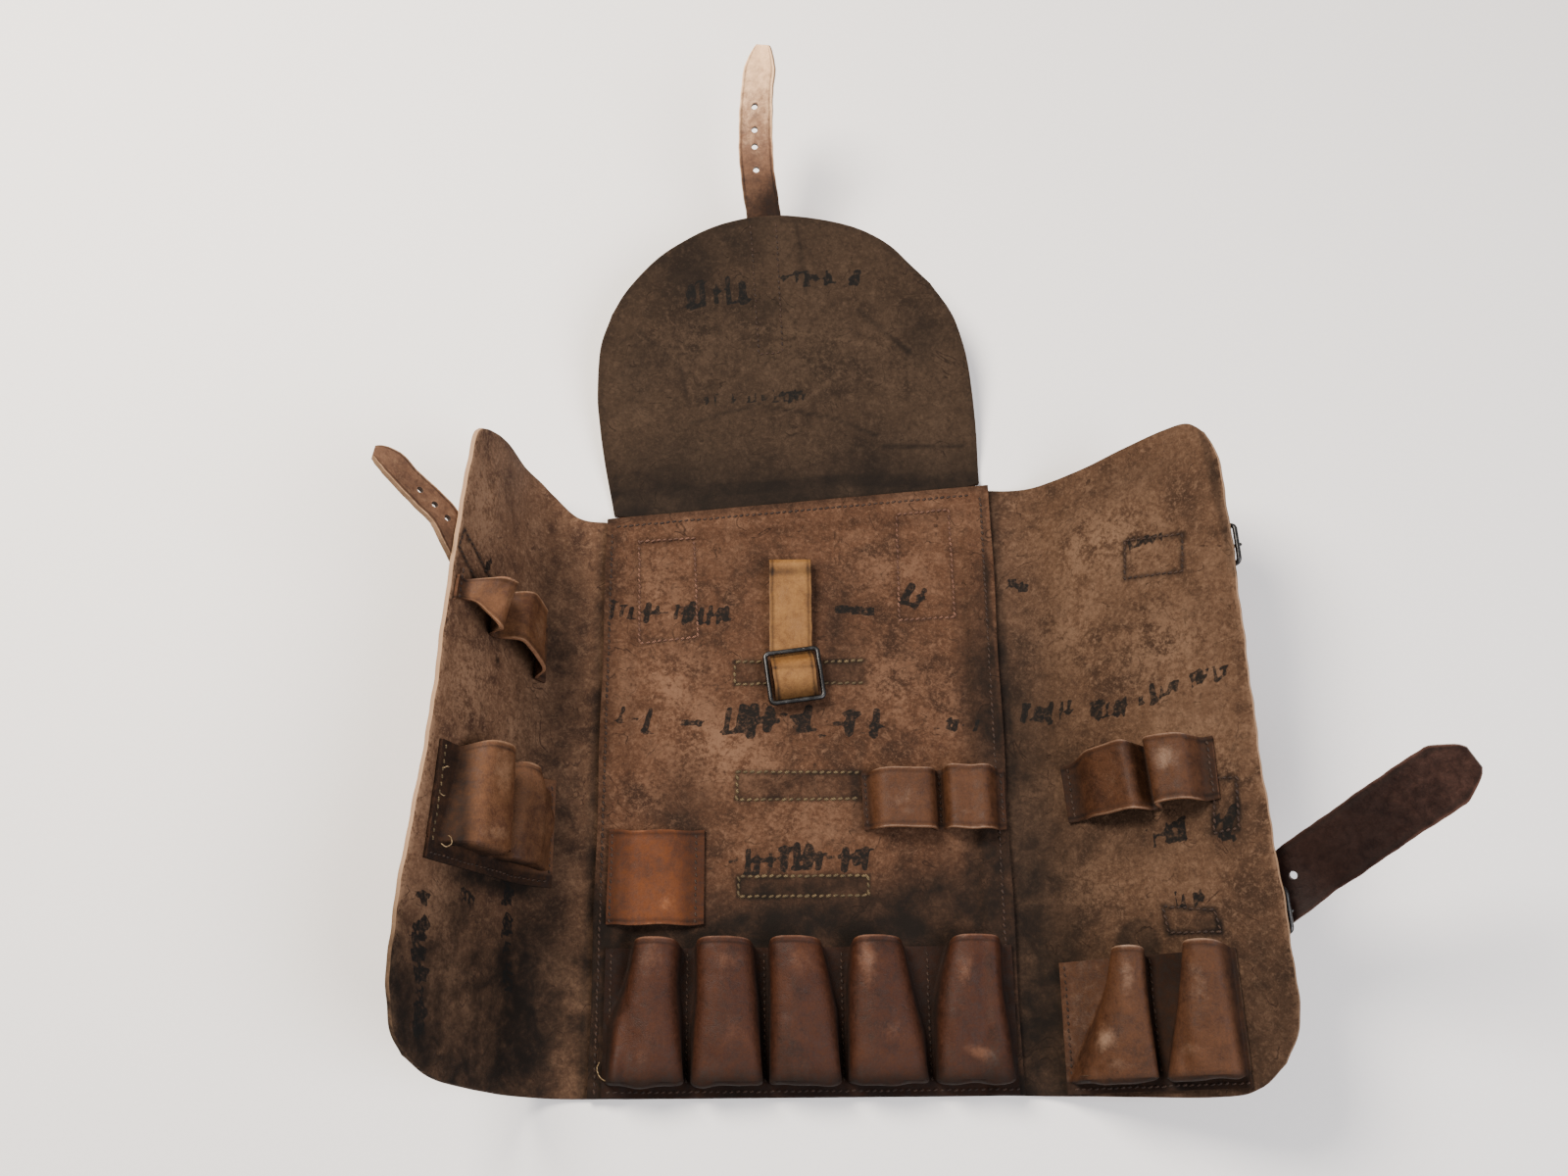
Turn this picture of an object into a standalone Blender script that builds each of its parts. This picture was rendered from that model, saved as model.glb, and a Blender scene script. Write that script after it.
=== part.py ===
"""Opened leather tool roll: a flat centre panel with two raised wings, a rounded top flap,
box pockets, tool loops, straps and buckles.

Lengths in the tables are millimetres; solid_from_faces turns them into metres.
The origin is the middle of the centre panel's underside, +Z is up and +Y runs toward the flap.
"""
import math

import bpy
import numpy as np

# Leather thicknesses and the gap left between pieces that touch.
BODY_THICK = 3.0
POCKET_THICK = 2.0
STRAP_THICK = 3.0
GAP = 0.3
MM = 0.001

# Centre panel: straight left, right and lower edges, slanted top edge.
PANEL_HALF_WIDTH = 125.0
PANEL_BOTTOM = -186.0
PANEL_TOP_LEFT = 174.5
PANEL_TOP_RIGHT = 196.5
LAP_WIDTH = 14.0
LAP_RISE = BODY_THICK + GAP
LAP_RAMP_START = 103.0
LAP_RAMP_END = 110.0
RAMP_ROOM = 0.5

# Wings: a bend beside the seam, then a raised sheet. Angles in degrees at the bottom and the top.
WING_FLAT = 6.0
BEND_ROOM = 0.45
SEAT_ROOM = 0.15
LEFT_BEND_RADIUS = 45.0
LEFT_ANGLES = (65.0, 80.0)
RIGHT_BEND_RADIUS = 40.0
RIGHT_ANGLES = (32.0, 44.0)
ANGLE_SPAN = 372.0

# Wing outlines as (distance out from the seam, y), lower edge, outer edge and top edge.
LEFT_LOWER = [(-14, -185.7), (22, -185.5), (84, -182), (118, -178), (142, -168)]
LEFT_OUTER = [(142, -168), (153, -156), (158, -132), (157.5, -107), (154.5, -55), (150.5, 0), (150, 60),
              (148, 120), (146.5, 165), (145, 183), (138, 190)]
LEFT_TOP = [(-14, 172.4), (0, 173.2), (19, 176), (37, 188.7), (54, 196.6), (97, 199.7), (124, 195), (138, 190)]
RIGHT_LOWER = [(-14, -185.7), (30, -187), (110, -190), (134, -186.5), (150, -174)]
RIGHT_OUTER = [(150, -174), (158, -160), (161, -143), (161.5, -95), (160, -20), (160, 60), (161, 130),
               (160, 172), (154, 190)]
RIGHT_TOP = [(-14, 192.5), (0, 193.5), (30, 192.5), (64.8, 193.4), (100, 197.6), (128, 199.8), (144, 198.5),
             (154, 190)]

# Top flap: the crease runs parallel to the panel's slanted top edge.
CREASE_LEFT_Y = 178.3
CREASE_RIGHT_Y = 200.2
FLAP_BEND_LENGTH = 22.0
FLAP_FIRST_ANGLE = 13.0
FLAP_LAST_ANGLE = 20.0
FLAP_LENGTH = 192.0
FLAP_BASE = [(-121.3, -0.6), (-60, -0.6), (0, -0.6), (60, -0.6), (119.8, -0.6)]
FLAP_LEFT = [(-121.3, -0.6), (-124.9, 35.3), (-126.2, 62), (-126, 82), (-121.5, 113), (-112, 135)]
FLAP_TOP = [(-112, 135), (-99.6, 151.4), (-79, 169.5), (-57.9, 181.1), (-38, 188.4), (-17.8, 191.9), (0, 192.2),
            (14.8, 190.8), (38, 185.6), (59.6, 177.6), (77, 166), (89.8, 151.6), (102, 138)]
FLAP_RIGHT = [(119.8, -0.6), (122.2, 39.4), (121.8, 79), (118, 104), (112.8, 119.6), (102, 138)]
FLAP_TONGUE_HALF = 107.5
FLAP_TONGUE_DEPTH = 13.0

# Front faces of the five panel pockets: left and right edge at the top, the middle and the bottom.
PANEL_POCKETS = [
    # seam_left, seam_right, top, middle, bottom, height
    (-117.0, -68.8, (-98.5, -74.5), (-101.0, -72.0), (-111.0, -66.5), 20.0),
    (-68.8, -23.5, (-61.0, -30.0), (-60.0, -25.5), (-61.5, -19.5), 20.0),
    (-23.5, 21.8, (-19.0, 10.0), (-17.0, 19.0), (-16.0, 26.0), 20.0),
    (21.8, 72.3, (30.0, 57.0), (27.5, 63.0), (29.0, 72.0), 20.0),
    (72.3, 122.0, (86.0, 113.0), (77.5, 114.0), (77.0, 118.5), 19.0),
]
PANEL_POCKET_ROWS = (-97.0, -133.0, -177.5)
PANEL_POCKET_MARGIN = -185.4

# Tucked lower end of a pocket: (y beside it, y at its front, share of the height, inner set-back).
POCKET_END = [(0.0, -1.2, 0.97, 1.2), (-0.9, -2.0, 0.72, 2.0), (-1.5, -1.2, 0.36, 2.0), (-2.1, -0.4, 0.0, 2.0)]

# Wing pockets in wing coordinates, same columns.
RIGHT_POCKETS = [
    (26.0, 81.6, (64.6, 84.5), (57.0, 83.5), (42.0, 86.0), 18.0),
    (81.6, 131.5, (106.9, 127.0), (101.0, 128.0), (91.0, 130.0), 18.0),
]
RIGHT_POCKET_ROWS = (-108.0, -137.0, -179.0)
RIGHT_POCKET_MARGIN = -186.0
LEFT_POCKETS = [
    (27.0, 83.5, (44.0, 74.0), (38.0, 76.5), (33.0, 79.0), 20.0),
    (83.5, 141.0, (96.0, 127.0), (92.0, 127.0), (88.0, 133.0), 24.0),
]
LEFT_POCKET_ROWS = (4.0, -24.0, -55.0)
LEFT_POCKET_MARGIN = -66.0

# Tool loop bands: one outline per open edge, as (across, y, height above the leather).
CENTRE_LOOPS = (
    [(35.5, 4.0, 0), (42.0, 4.0, 0), (47.0, 4.2, 14), (78.0, 4.0, 16.5), (82.5, 4.2, 0), (85.5, 4.8, 0),
     (88.5, 5.5, 17), (113.0, 5.0, 15), (119.5, 4.0, 0), (123.5, 4.0, 0)],
    [(36.5, -31.5, 0), (43.0, -31.5, 0), (48.0, -32.0, 13), (79.0, -32.5, 15), (83.0, -32.5, 0), (86.0, -32.5, 0),
     (89.0, -33.0, 15), (113.0, -34.0, 14), (119.5, -33.5, 0), (123.5, -33.0, 0)],
)
RIGHT_LOOPS = (
    [(36.0, 3.5, 0), (46.0, 4.5, 0), (60.0, 8.0, 15), (88.0, 8.5, 21), (92.0, 7.0, 0), (95.5, 7.0, 0),
     (99.0, 7.5, 22), (124.0, 6.5, 20), (128.5, 6.0, 0), (134.5, 6.0, 0)],
    [(39.0, -31.0, 0), (48.0, -31.5, 0), (60.0, -31.0, 11), (91.0, -32.0, 19), (94.5, -31.0, 0), (98.0, -31.0, 0),
     (101.5, -31.0, 20), (123.0, -31.0, 19), (128.0, -30.5, 0), (134.5, -30.0, 0)],
)
LEFT_LOOPS = (
    [(38.0, 98.0, 0), (45.0, 98.0, 0), (55.0, 99.5, 18), (87.0, 103.5, 21), (94.0, 102.0, 0), (98.0, 102.0, 0),
     (117.0, 94.0, 28), (132.5, 101.0, 23), (138.5, 102.5, 0), (145.0, 103.0, 0)],
    [(38.0, 60.0, 0), (45.0, 60.5, 0), (54.0, 62.0, 18), (93.0, 71.5, 20), (97.0, 72.5, 0), (101.0, 73.0, 0),
     (124.0, 66.5, 23), (135.0, 79.0, 9), (139.0, 81.5, 0), (146.5, 78.0, 0)],
)

# Patch band: a low bridge sewn at its two sides.
PATCH_BAND = (
    [(-117.0, -30.0, 0), (-112.0, -30.0, 0), (-105.0, -30.0, 8.6), (-76.5, -30.0, 8.6), (-70.0, -30.5, 0),
     (-59.5, -31.0, 0)],
    [(-117.5, -88.0, 0), (-113.0, -88.0, 0), (-105.5, -88.0, 9.4), (-76.0, -88.0, 9.6), (-69.5, -88.0, 0),
     (-59.5, -87.5, 0)],
)

# Tan tab as (x, y, height of its middle plane), and the wire frame that it passes through.
TAB_WIDTH = 26.6
TAB_PATH = [(-6.0, 104, 1.85), (-6.0, 122, 1.85), (-6.0, 138.2, 1.9), (-6.0, 141.4, 2.9), (-6.0, 142.4, 5.0),
            (-6.0, 140.8, 6.9), (-6.0, 137.4, 7.4), (-6.0, 118, 6.4), (-6.0, 98, 5.0), (-6.1, 84, 4.1),
            (-5.7, 78.6, 4.2), (-5.3, 75.4, 6.2), (-4.7, 71, 10.3), (-4.0, 65, 12.5), (-3.3, 59.5, 11.6),
            (-2.7, 55.4, 8.2), (-2.3, 52.6, 4.6), (-2.0, 49.6, 2.9), (-1.6, 45.0, 2.0), (-1.3, 40.5, 1.85)]
FRAME_CENTRE = (-4.0, 65.15)
FRAME_SIZE = (33.2, 32.4)
FRAME_TURN = 7.3
FRAME_HEIGHTS = (7.35, 6.7)
FRAME_CORNER = 3.0
WIRE_RADIUS = 1.35

# Buckles on the outside of the right wing, given by their middle y and the y of the chape.
BUCKLES = {"upper": 119.0, "lower": -93.8}
BUCKLE_INNER_BAR = 138.5
BUCKLE_OUTER_BAR = 161.0
BUCKLE_HALF_WIDTH = 13.3
BUCKLE_DEPTH = -7.8
CHAPE_WIDTH = 20.0
CHAPE_THICK = 2.2
CHAPE_START = 92.0

# Straps as centre lines with the side direction and width; the sewn part lies on the outer face.
FLAP_STRAP_WIDTH = 23.0
FLAP_STRAP_SEWN = [(-9.0, 96.0), (-8.0, 128.0), (-6.8, 160.0), (-5.4, 186.0), (-5.0, 193.5)]
FLAP_STRAP_FREE = [
    # x, y, z, side_z
    (-24.4, 396.0, 57.5, 0.02), (-26.1, 414.0, 61.6, 0.08), (-26.3, 434.0, 67.4, 0.20),
    (-25.3, 455.0, 75.2, 0.38), (-23.0, 471.0, 83.0, 0.50), (-21.6, 479.5, 88.0, 0.55),
]
LEFT_STRAP_WIDTH = 22.0
RIGHT_STRAP_WIDTH = 36.0
HOLE_RADIUS = 2.1
HOLE_SIDES = 10
LEFT_STRAP_SEWN = [(92.0, 95.0), (112.0, 103.5), (132.0, 112.0), (148.0, 119.0)]
LEFT_STRAP_FREE = [
    # x, y, z, side_x, side_y, side_z
    (-205.4, 128.9, 118.0, -0.20, -0.85, 0.49), (-215.7, 138.8, 123.0, -0.30, -0.76, 0.57),
    (-225.2, 147.0, 129.0, -0.34, -0.69, 0.64), (-233.0, 155.0, 133.0, -0.36, -0.67, 0.65),
    (-240.0, 159.2, 137.0, -0.40, -0.66, 0.64), (-243.6, 160.2, 138.5, -0.42, -0.66, 0.62),
]
RIGHT_STRAP_SEWN = [
    # distance out, y, height above the inner face
    (40.0, -133.0, -5.1), (56.0, -126.0, -5.1), (68.0, -121.0, -5.4), (80.0, -115.5, -9.5),
    (92.0, -110.0, -14.5), (106.0, -103.5, -17.4), (130.0, -92.5, -18.0), (152.0, -83.0, -17.6),
]
RIGHT_STRAP_FREE = [
    (281.0, -69.5, 80.0, 0.53, -0.85, 0.00), (293.3, -61.8, 92.0, 0.53, -0.85, 0.00),
    (314.8, -47.5, 112.0, 0.53, -0.85, 0.00), (335.3, -34.8, 131.0, 0.53, -0.85, 0.00),
    (344.6, -29.4, 139.5, 0.53, -0.85, 0.00), (351.2, -25.6, 145.5, 0.53, -0.85, 0.00),
]


def lerp(a, b, t):
    return a + (b - a) * t


def smoothstep(low, high, value):
    t = min(max((value - low) / (high - low), 0.0), 1.0)
    return t * t * (3.0 - 2.0 * t)


def resample(points, count):
    """Spread count points evenly along a smooth curve through the given points."""
    pts = np.array(points, dtype=float)
    padded = np.vstack([2 * pts[0] - pts[1], pts, 2 * pts[-1] - pts[-2]])
    fine = []
    for i in range(1, len(padded) - 2):
        p0, p1, p2, p3 = padded[i - 1:i + 3]
        for t in np.linspace(0.0, 1.0, 12, endpoint=False):
            fine.append(0.5 * (2 * p1 + (p2 - p0) * t + (2 * p0 - 5 * p1 + 4 * p2 - p3) * t ** 2
                               + (3 * p1 - p0 - 3 * p2 + p3) * t ** 3))
    fine.append(pts[-1])
    fine = np.array(fine)
    length = np.concatenate([[0.0], np.cumsum(np.linalg.norm(np.diff(fine, axis=0), axis=1))])
    wanted = np.linspace(0.0, length[-1], count)
    return np.column_stack([np.interp(wanted, length, fine[:, k]) for k in range(fine.shape[1])])


def coons(lower, upper, left, right, columns, rows):
    """Fill a four-sided outline with a grid of rows by columns points."""
    low, top = resample(lower, columns), resample(upper, columns)
    lef, rig = resample(left, rows), resample(right, rows)
    grid = np.zeros((rows, columns, low.shape[1]))
    for r in range(rows):
        v = r / (rows - 1)
        for c in range(columns):
            u = c / (columns - 1)
            ruled = (1 - v) * low[c] + v * top[c] + (1 - u) * lef[r] + u * rig[r]
            corners = ((1 - u) * (1 - v) * low[0] + u * (1 - v) * low[-1]
                       + (1 - u) * v * top[0] + u * v * top[-1])
            grid[r, c] = ruled - corners
    return grid


def panel_top_edge(x):
    return lerp(PANEL_TOP_LEFT, PANEL_TOP_RIGHT, (x + PANEL_HALF_WIDTH) / (2 * PANEL_HALF_WIDTH))


def panel_rise(x, y):
    """Height that the panel gains where it laps over a wing or the flap."""
    side = (abs(x) - LAP_RAMP_START) / (LAP_RAMP_END - LAP_RAMP_START)
    top = (y - panel_top_edge(x) + LAP_WIDTH + 7.5) / 7.0
    return LAP_RISE * min(max(side, top, 0.0), 1.0)


def panel_point(x, y, n):
    """A point at height n above the panel's upper face."""
    return np.array([x, y, BODY_THICK + panel_rise(x, y) + n])


def ramp_point(x, y, n):
    """Like panel_point, with a little room where straight facets cross the panel's ramp."""
    return panel_point(x, y, n + RAMP_ROOM * smoothstep(LAP_RAMP_START - 6.0, LAP_RAMP_START + 2.0, abs(x)))


def wing_angle(side, y):
    t = min(max((y + ANGLE_SPAN / 2) / ANGLE_SPAN, -0.2), 1.2)
    low, high = LEFT_ANGLES if side < 0 else RIGHT_ANGLES
    return math.radians(lerp(low, high, t * abs(t) if side < 0 else t))


def wing_wave(side, s, y):
    """Small waves that old leather keeps, growing toward the outer edge."""
    reach = smoothstep(40.0, 150.0, s)
    if side < 0:
        return reach * (1.6 * math.sin(y / 41.0 + 0.6) + 0.5 * math.sin(y / 30.0 + s / 60.0))
    return reach * (1.4 * math.sin(y / 47.0 + 2.0) + 0.5 * math.sin(y / 33.0 - s / 50.0))


def wing_point(side, s, y, n):
    """A point s out from the seam along the wing and n above its inner face; side is -1 or 1."""
    angle = wing_angle(side, y)
    radius = LEFT_BEND_RADIUS if side < 0 else RIGHT_BEND_RADIUS
    height = n + wing_wave(side, s, y)
    if s <= WING_FLAT:
        turn, x, z = 0.0, s, 0.0
    elif s - WING_FLAT < radius * angle:
        turn = (s - WING_FLAT) / radius
        x = WING_FLAT + radius * math.sin(turn)
        z = radius * (1 - math.cos(turn))
    else:
        turn = angle
        rest = s - WING_FLAT - radius * angle
        x = WING_FLAT + radius * math.sin(turn) + rest * math.cos(turn)
        z = radius * (1 - math.cos(turn)) + rest * math.sin(turn)
    x -= height * math.sin(turn)
    z += height * math.cos(turn)
    return np.array([side * (PANEL_HALF_WIDTH + x), y, BODY_THICK + z])


def wing_seat(side, s, y, n):
    """Like wing_point, with a little room over the facets of the wing's bend."""
    return wing_point(side, s, y, n + lerp(BEND_ROOM, SEAT_ROOM, smoothstep(55.0, 80.0, s)))


CREASE_MIDDLE = np.array([0.0, (CREASE_LEFT_Y + CREASE_RIGHT_Y) / 2])
CREASE_DIRECTION = np.array([2 * PANEL_HALF_WIDTH, CREASE_RIGHT_Y - CREASE_LEFT_Y])
CREASE_DIRECTION = CREASE_DIRECTION / np.linalg.norm(CREASE_DIRECTION)
FLAP_DIRECTION = np.array([-CREASE_DIRECTION[1], CREASE_DIRECTION[0]])


def flap_angle(v):
    bend = smoothstep(0.0, FLAP_BEND_LENGTH, v) * FLAP_FIRST_ANGLE
    return math.radians(bend + smoothstep(FLAP_BEND_LENGTH, FLAP_LENGTH, v) * (FLAP_LAST_ANGLE - FLAP_FIRST_ANGLE))


def flap_table():
    """Distance along the floor and height for each millimetre along the flap."""
    run, rise = [0.0], [0.0]
    for v in range(int(FLAP_LENGTH) + 20):
        run.append(run[-1] + math.cos(flap_angle(v + 0.5)))
        rise.append(rise[-1] + math.sin(flap_angle(v + 0.5)))
    return np.array(run), np.array(rise)


FLAP_RUN, FLAP_RISE = flap_table()


def flap_point(u, v, n):
    """A point u along the crease, v up the flap and n above its inner face."""
    if v <= 0.0:
        run, rise = v, 0.0
    else:
        run = float(np.interp(v, np.arange(len(FLAP_RUN)), FLAP_RUN))
        rise = float(np.interp(v, np.arange(len(FLAP_RISE)), FLAP_RISE))
    angle = flap_angle(max(v, 0.0))
    run -= n * math.sin(angle)
    rise += n * math.cos(angle)
    flat = CREASE_MIDDLE + CREASE_DIRECTION * u + FLAP_DIRECTION * run
    return np.array([flat[0], flat[1], BODY_THICK + rise])


def clear_scene():
    for item in list(bpy.data.objects):
        bpy.data.objects.remove(item, do_unlink=True)


def make_material(name, colour, roughness, metallic=0.0):
    material = bpy.data.materials.new(name)
    material.use_nodes = True
    shader = material.node_tree.nodes["Principled BSDF"]
    shader.inputs["Base Color"].default_value = (*colour, 1.0)
    shader.inputs["Roughness"].default_value = roughness
    shader.inputs["Metallic"].default_value = metallic
    return material


def signed_volume(points, faces):
    total = 0.0
    for face in faces:
        for k in range(1, len(face) - 1):
            a, b, c = points[face[0]], points[face[k]], points[face[k + 1]]
            total += float(np.dot(a, np.cross(b, c))) / 6.0
    return total


def solid_from_faces(name, points, faces, material):
    """Make one closed body in metres with its faces pointing out."""
    pts = [np.array(p, dtype=float) for p in points]
    if signed_volume(pts, faces) < 0:
        faces = [tuple(reversed(face)) for face in faces]
    mesh = bpy.data.meshes.new(name)
    mesh.from_pydata([tuple(p * MM) for p in pts], [], faces)
    mesh.materials.append(material)
    mesh.update()
    item = bpy.data.objects.new(name, mesh)
    bpy.context.collection.objects.link(item)
    for polygon in mesh.polygons:
        polygon.use_smooth = True
    return item


def shell(name, upper, lower, material):
    """Close two equal grids of points into one thin solid."""
    rows, columns = len(upper), len(upper[0])
    points = [p for row in upper for p in row] + [p for row in lower for p in row]
    offset = rows * columns
    faces = []
    for r in range(rows - 1):
        for c in range(columns - 1):
            a = r * columns + c
            quad = (a, a + 1, a + columns + 1, a + columns)
            faces.append(quad)
            faces.append(tuple(offset + k for k in reversed(quad)))
    rim = [c for c in range(columns)]
    rim += [r * columns + columns - 1 for r in range(1, rows)]
    rim += [(rows - 1) * columns + c for c in range(columns - 2, -1, -1)]
    rim += [r * columns for r in range(rows - 2, 0, -1)]
    for k, a in enumerate(rim):
        b = rim[(k + 1) % len(rim)]
        faces.append((b, a, a + offset, b + offset))
    return solid_from_faces(name, points, faces, material)


def rounded(points, radii, steps):
    """Replace each inner corner of a polyline with an arc of steps segments."""
    pts = [np.array(p, dtype=float) for p in points]
    result = [pts[0]]
    for i in range(1, len(pts) - 1):
        back, ahead = pts[i - 1] - pts[i], pts[i + 1] - pts[i]
        long_back, long_ahead = np.linalg.norm(back), np.linalg.norm(ahead)
        reach = min(radii[i - 1], 0.46 * long_back, 0.46 * long_ahead)
        if reach == 0:
            result.append(pts[i])
            continue
        start = pts[i] + back / long_back * reach
        end = pts[i] + ahead / long_ahead * reach
        for k in range(steps + 1):
            t = k / steps
            result.append((1 - t) ** 2 * start + 2 * t * (1 - t) * pts[i] + t * t * end)
    result.append(pts[-1])
    return result


def inset(profile, thickness):
    """Move a profile of (across, height) points toward the leather below by its thickness."""
    pts = [np.array(p, dtype=float) for p in profile]
    result = []
    for i, p in enumerate(pts):
        before = pts[i] - pts[i - 1] if i > 0 else pts[1] - pts[0]
        after = pts[i + 1] - pts[i] if i < len(pts) - 1 else pts[-1] - pts[-2]
        before = before / np.linalg.norm(before)
        after = after / np.linalg.norm(after)
        normal = np.array([before[1] + after[1], -before[0] - after[0]])
        normal = normal / np.linalg.norm(normal)
        spread = max(abs(float(np.dot(normal, np.array([before[1], -before[0]])))), 0.72)
        result.append(p + normal * thickness / spread)
    return result


def pocket(name, surface, spec, levels, margin, material):
    """A flared box pocket: open at its upper end, tucked under and sewn down at its lower end."""
    seam_left, seam_right, top, middle, bottom, height = spec
    over_ramp = surface is ramp_point
    base = GAP + POCKET_THICK
    fronts = [top, lerp(np.array(top), np.array(middle), 0.5), middle,
              lerp(np.array(middle), np.array(bottom), 0.55), bottom]
    stops = [levels[0], lerp(levels[0], levels[1], 0.5), levels[1], lerp(levels[1], levels[2], 0.55),
             levels[2]]
    # Each row: y beside the pocket, y at its front, share of the height, front edges, inner set-back.
    rows = [(stops[k], stops[k], 1.0, fronts[k], 0.0) for k in range(4)]
    rows += [(stops[4] + beside, stops[4] + ahead, share, bottom, setback)
             for beside, ahead, share, setback in POCKET_END]
    rows.append((margin, margin, 0.0, bottom, 0.0))
    upper, lower = [], []
    for index, (beside, ahead, share, front, setback) in enumerate(rows):
        left, right = float(front[0]), float(front[1])
        foot_left = max(left - 6.0, seam_left + 2.2)
        foot_right = min(right + 6.0, seam_right - 2.2)
        crown = (left + right) / 2
        # Two flange points keep the piece on the panel's ramp where it crosses it.
        first = min(-LAP_RAMP_END, lerp(seam_left, foot_left, 0.6))
        second = lerp(first, foot_left, 0.5)
        ledge = [(first, base), (second, base)] if over_ramp else []
        corners = [(seam_left + GAP / 2, base)] + ledge + [
            (foot_left, base), (left, height), (crown, height + 1.2), (right, height), (foot_right, base),
            (seam_right - GAP / 2, base)]
        outer = rounded(corners, [0.0] * len(ledge) + [1.5, 4.5, 6.0, 4.5, 1.5], 2)
        inner = inset(outer, POCKET_THICK)
        spread = np.linspace(foot_left, foot_right, len(outer) - 2)
        if over_ramp:
            inner_part = np.linspace(-LAP_RAMP_START + 2.0, foot_right, len(outer) - 4)
            spread = [-LAP_RAMP_END, -LAP_RAMP_START] + list(inner_part)
        flat = [outer[0][0]] + list(spread) + [outer[-1][0]]
        # The open end runs a little up the panel beside the raised front.
        lean = 4.5 * (1 - index / 4) if index < 4 else 0.0
        row_up, row_low = [], []
        for k in range(len(outer)):
            x_up = lerp(flat[k], outer[k][0], share)
            x_low = lerp(flat[k], inner[k][0], share)
            n_up = base + (outer[k][1] - base) * share
            n_low = GAP + (inner[k][1] - GAP) * share
            raised = min((outer[k][1] - base) / (height - base), 1.0)
            y = lerp(beside - lean, ahead, raised)
            row_up.append(surface(x_up, y, n_up))
            row_low.append(surface(x_low, y + setback, n_low))
        upper.append(row_up)
        lower.append(row_low)
    return shell(name, upper, lower, material)


def bridge(name, surface, edges, thick, material, radius=4.5, rows=4):
    """A band that is sewn down at its low parts and stands up between them."""
    base = GAP + thick
    first = rounded([(a, n + base if n == 0 else n) for a, _, n in edges[0]], [radius] * 8, 2)
    last = rounded([(a, n + base if n == 0 else n) for a, _, n in edges[1]], [radius] * 8, 2)
    first_y = rounded([(a, y) for a, y, _ in edges[0]], [radius] * 8, 2)
    last_y = rounded([(a, y) for a, y, _ in edges[1]], [radius] * 8, 2)
    upper, lower = [], []
    for r in range(rows):
        t = r / (rows - 1)
        profile = [lerp(a, b, t) for a, b in zip(first, last)]
        under = inset(profile, thick)
        ys = [lerp(a[1], b[1], t) for a, b in zip(first_y, last_y)]
        upper.append([surface(p[0], y, p[1]) for p, y in zip(profile, ys)])
        lower.append([surface(p[0], y, max(p[1], GAP)) for p, y in zip(under, ys)])
    return shell(name, upper, lower, material)


def ribbon(name, centres, sides, width, thickness, material, tip=0.0):
    """A flat strip along a path; tip cuts both corners at its far end."""
    centres = [np.array(p, dtype=float) for p in centres]
    upper, lower = [], []
    for i, centre in enumerate(centres):
        ahead = centres[min(i + 1, len(centres) - 1)] - centres[max(i - 1, 0)]
        ahead = ahead / np.linalg.norm(ahead)
        side = np.array(sides[i], dtype=float)
        side = side - ahead * float(np.dot(side, ahead))
        side = side / np.linalg.norm(side)
        normal = np.cross(side, ahead)
        half = width / 2
        if tip and i == len(centres) - 1:
            half = tip / 2
        across = [-half, -half / 3, half / 3, half]
        upper.append([centre + side * a + normal * thickness / 2 for a in across])
        lower.append([centre + side * a - normal * thickness / 2 for a in across])
    return shell(name, upper, lower, material)


def ring(name, path, radius, sides, material):
    """A closed round wire along a loop of points."""
    pts = [np.array(p, dtype=float) for p in path]
    count = len(pts)
    middle = sum(pts) / count
    points, faces = [], []
    for i, p in enumerate(pts):
        along = pts[(i + 1) % count] - pts[i - 1]
        along = along / np.linalg.norm(along)
        outward = p - middle
        outward = outward - along * float(np.dot(outward, along))
        outward = outward / np.linalg.norm(outward)
        normal = np.cross(along, outward)
        for k in range(sides):
            turn = 2 * math.pi * (k + 0.5) / sides
            points.append(p + radius * (math.cos(turn) * outward + math.sin(turn) * normal))
    for i in range(count):
        for k in range(sides):
            a, b = i * sides + k, i * sides + (k + 1) % sides
            c, d = (i + 1) % count * sides + (k + 1) % sides, (i + 1) % count * sides + k
            faces.append((a, b, c, d))
    return solid_from_faces(name, points, faces, material)


def rod(name, path, radius, sides, material):
    """A round rod along a path with flat ends."""
    pts = [np.array(p, dtype=float) for p in path]
    points, faces = [], []
    for i, p in enumerate(pts):
        along = pts[min(i + 1, len(pts) - 1)] - pts[max(i - 1, 0)]
        along = along / np.linalg.norm(along)
        across = np.cross(along, np.array([0.0, 1.0, 0.0]))
        across = across / np.linalg.norm(across)
        normal = np.cross(along, across)
        for k in range(sides):
            turn = 2 * math.pi * k / sides
            points.append(p + radius * (math.cos(turn) * across + math.sin(turn) * normal))
    for i in range(len(pts) - 1):
        for k in range(sides):
            a, b = i * sides + k, i * sides + (k + 1) % sides
            faces.append((a, b, b + sides, a + sides))
    faces.append(tuple(reversed(range(sides))))
    faces.append(tuple((len(pts) - 1) * sides + k for k in range(sides)))
    return solid_from_faces(name, points, faces, material)


def rounded_rectangle(half_a, half_b, corner, steps):
    """Loop of (a, b) points around a rectangle with round corners."""
    loop = []
    centres = [(half_a - corner, half_b - corner, 0), (-half_a + corner, half_b - corner, 90),
               (-half_a + corner, -half_b + corner, 180), (half_a - corner, -half_b + corner, 270)]
    for a, b, start in centres:
        for k in range(steps + 1):
            turn = math.radians(start + 90 * k / steps)
            loop.append((a + corner * math.cos(turn), b + corner * math.sin(turn)))
    return loop


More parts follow.
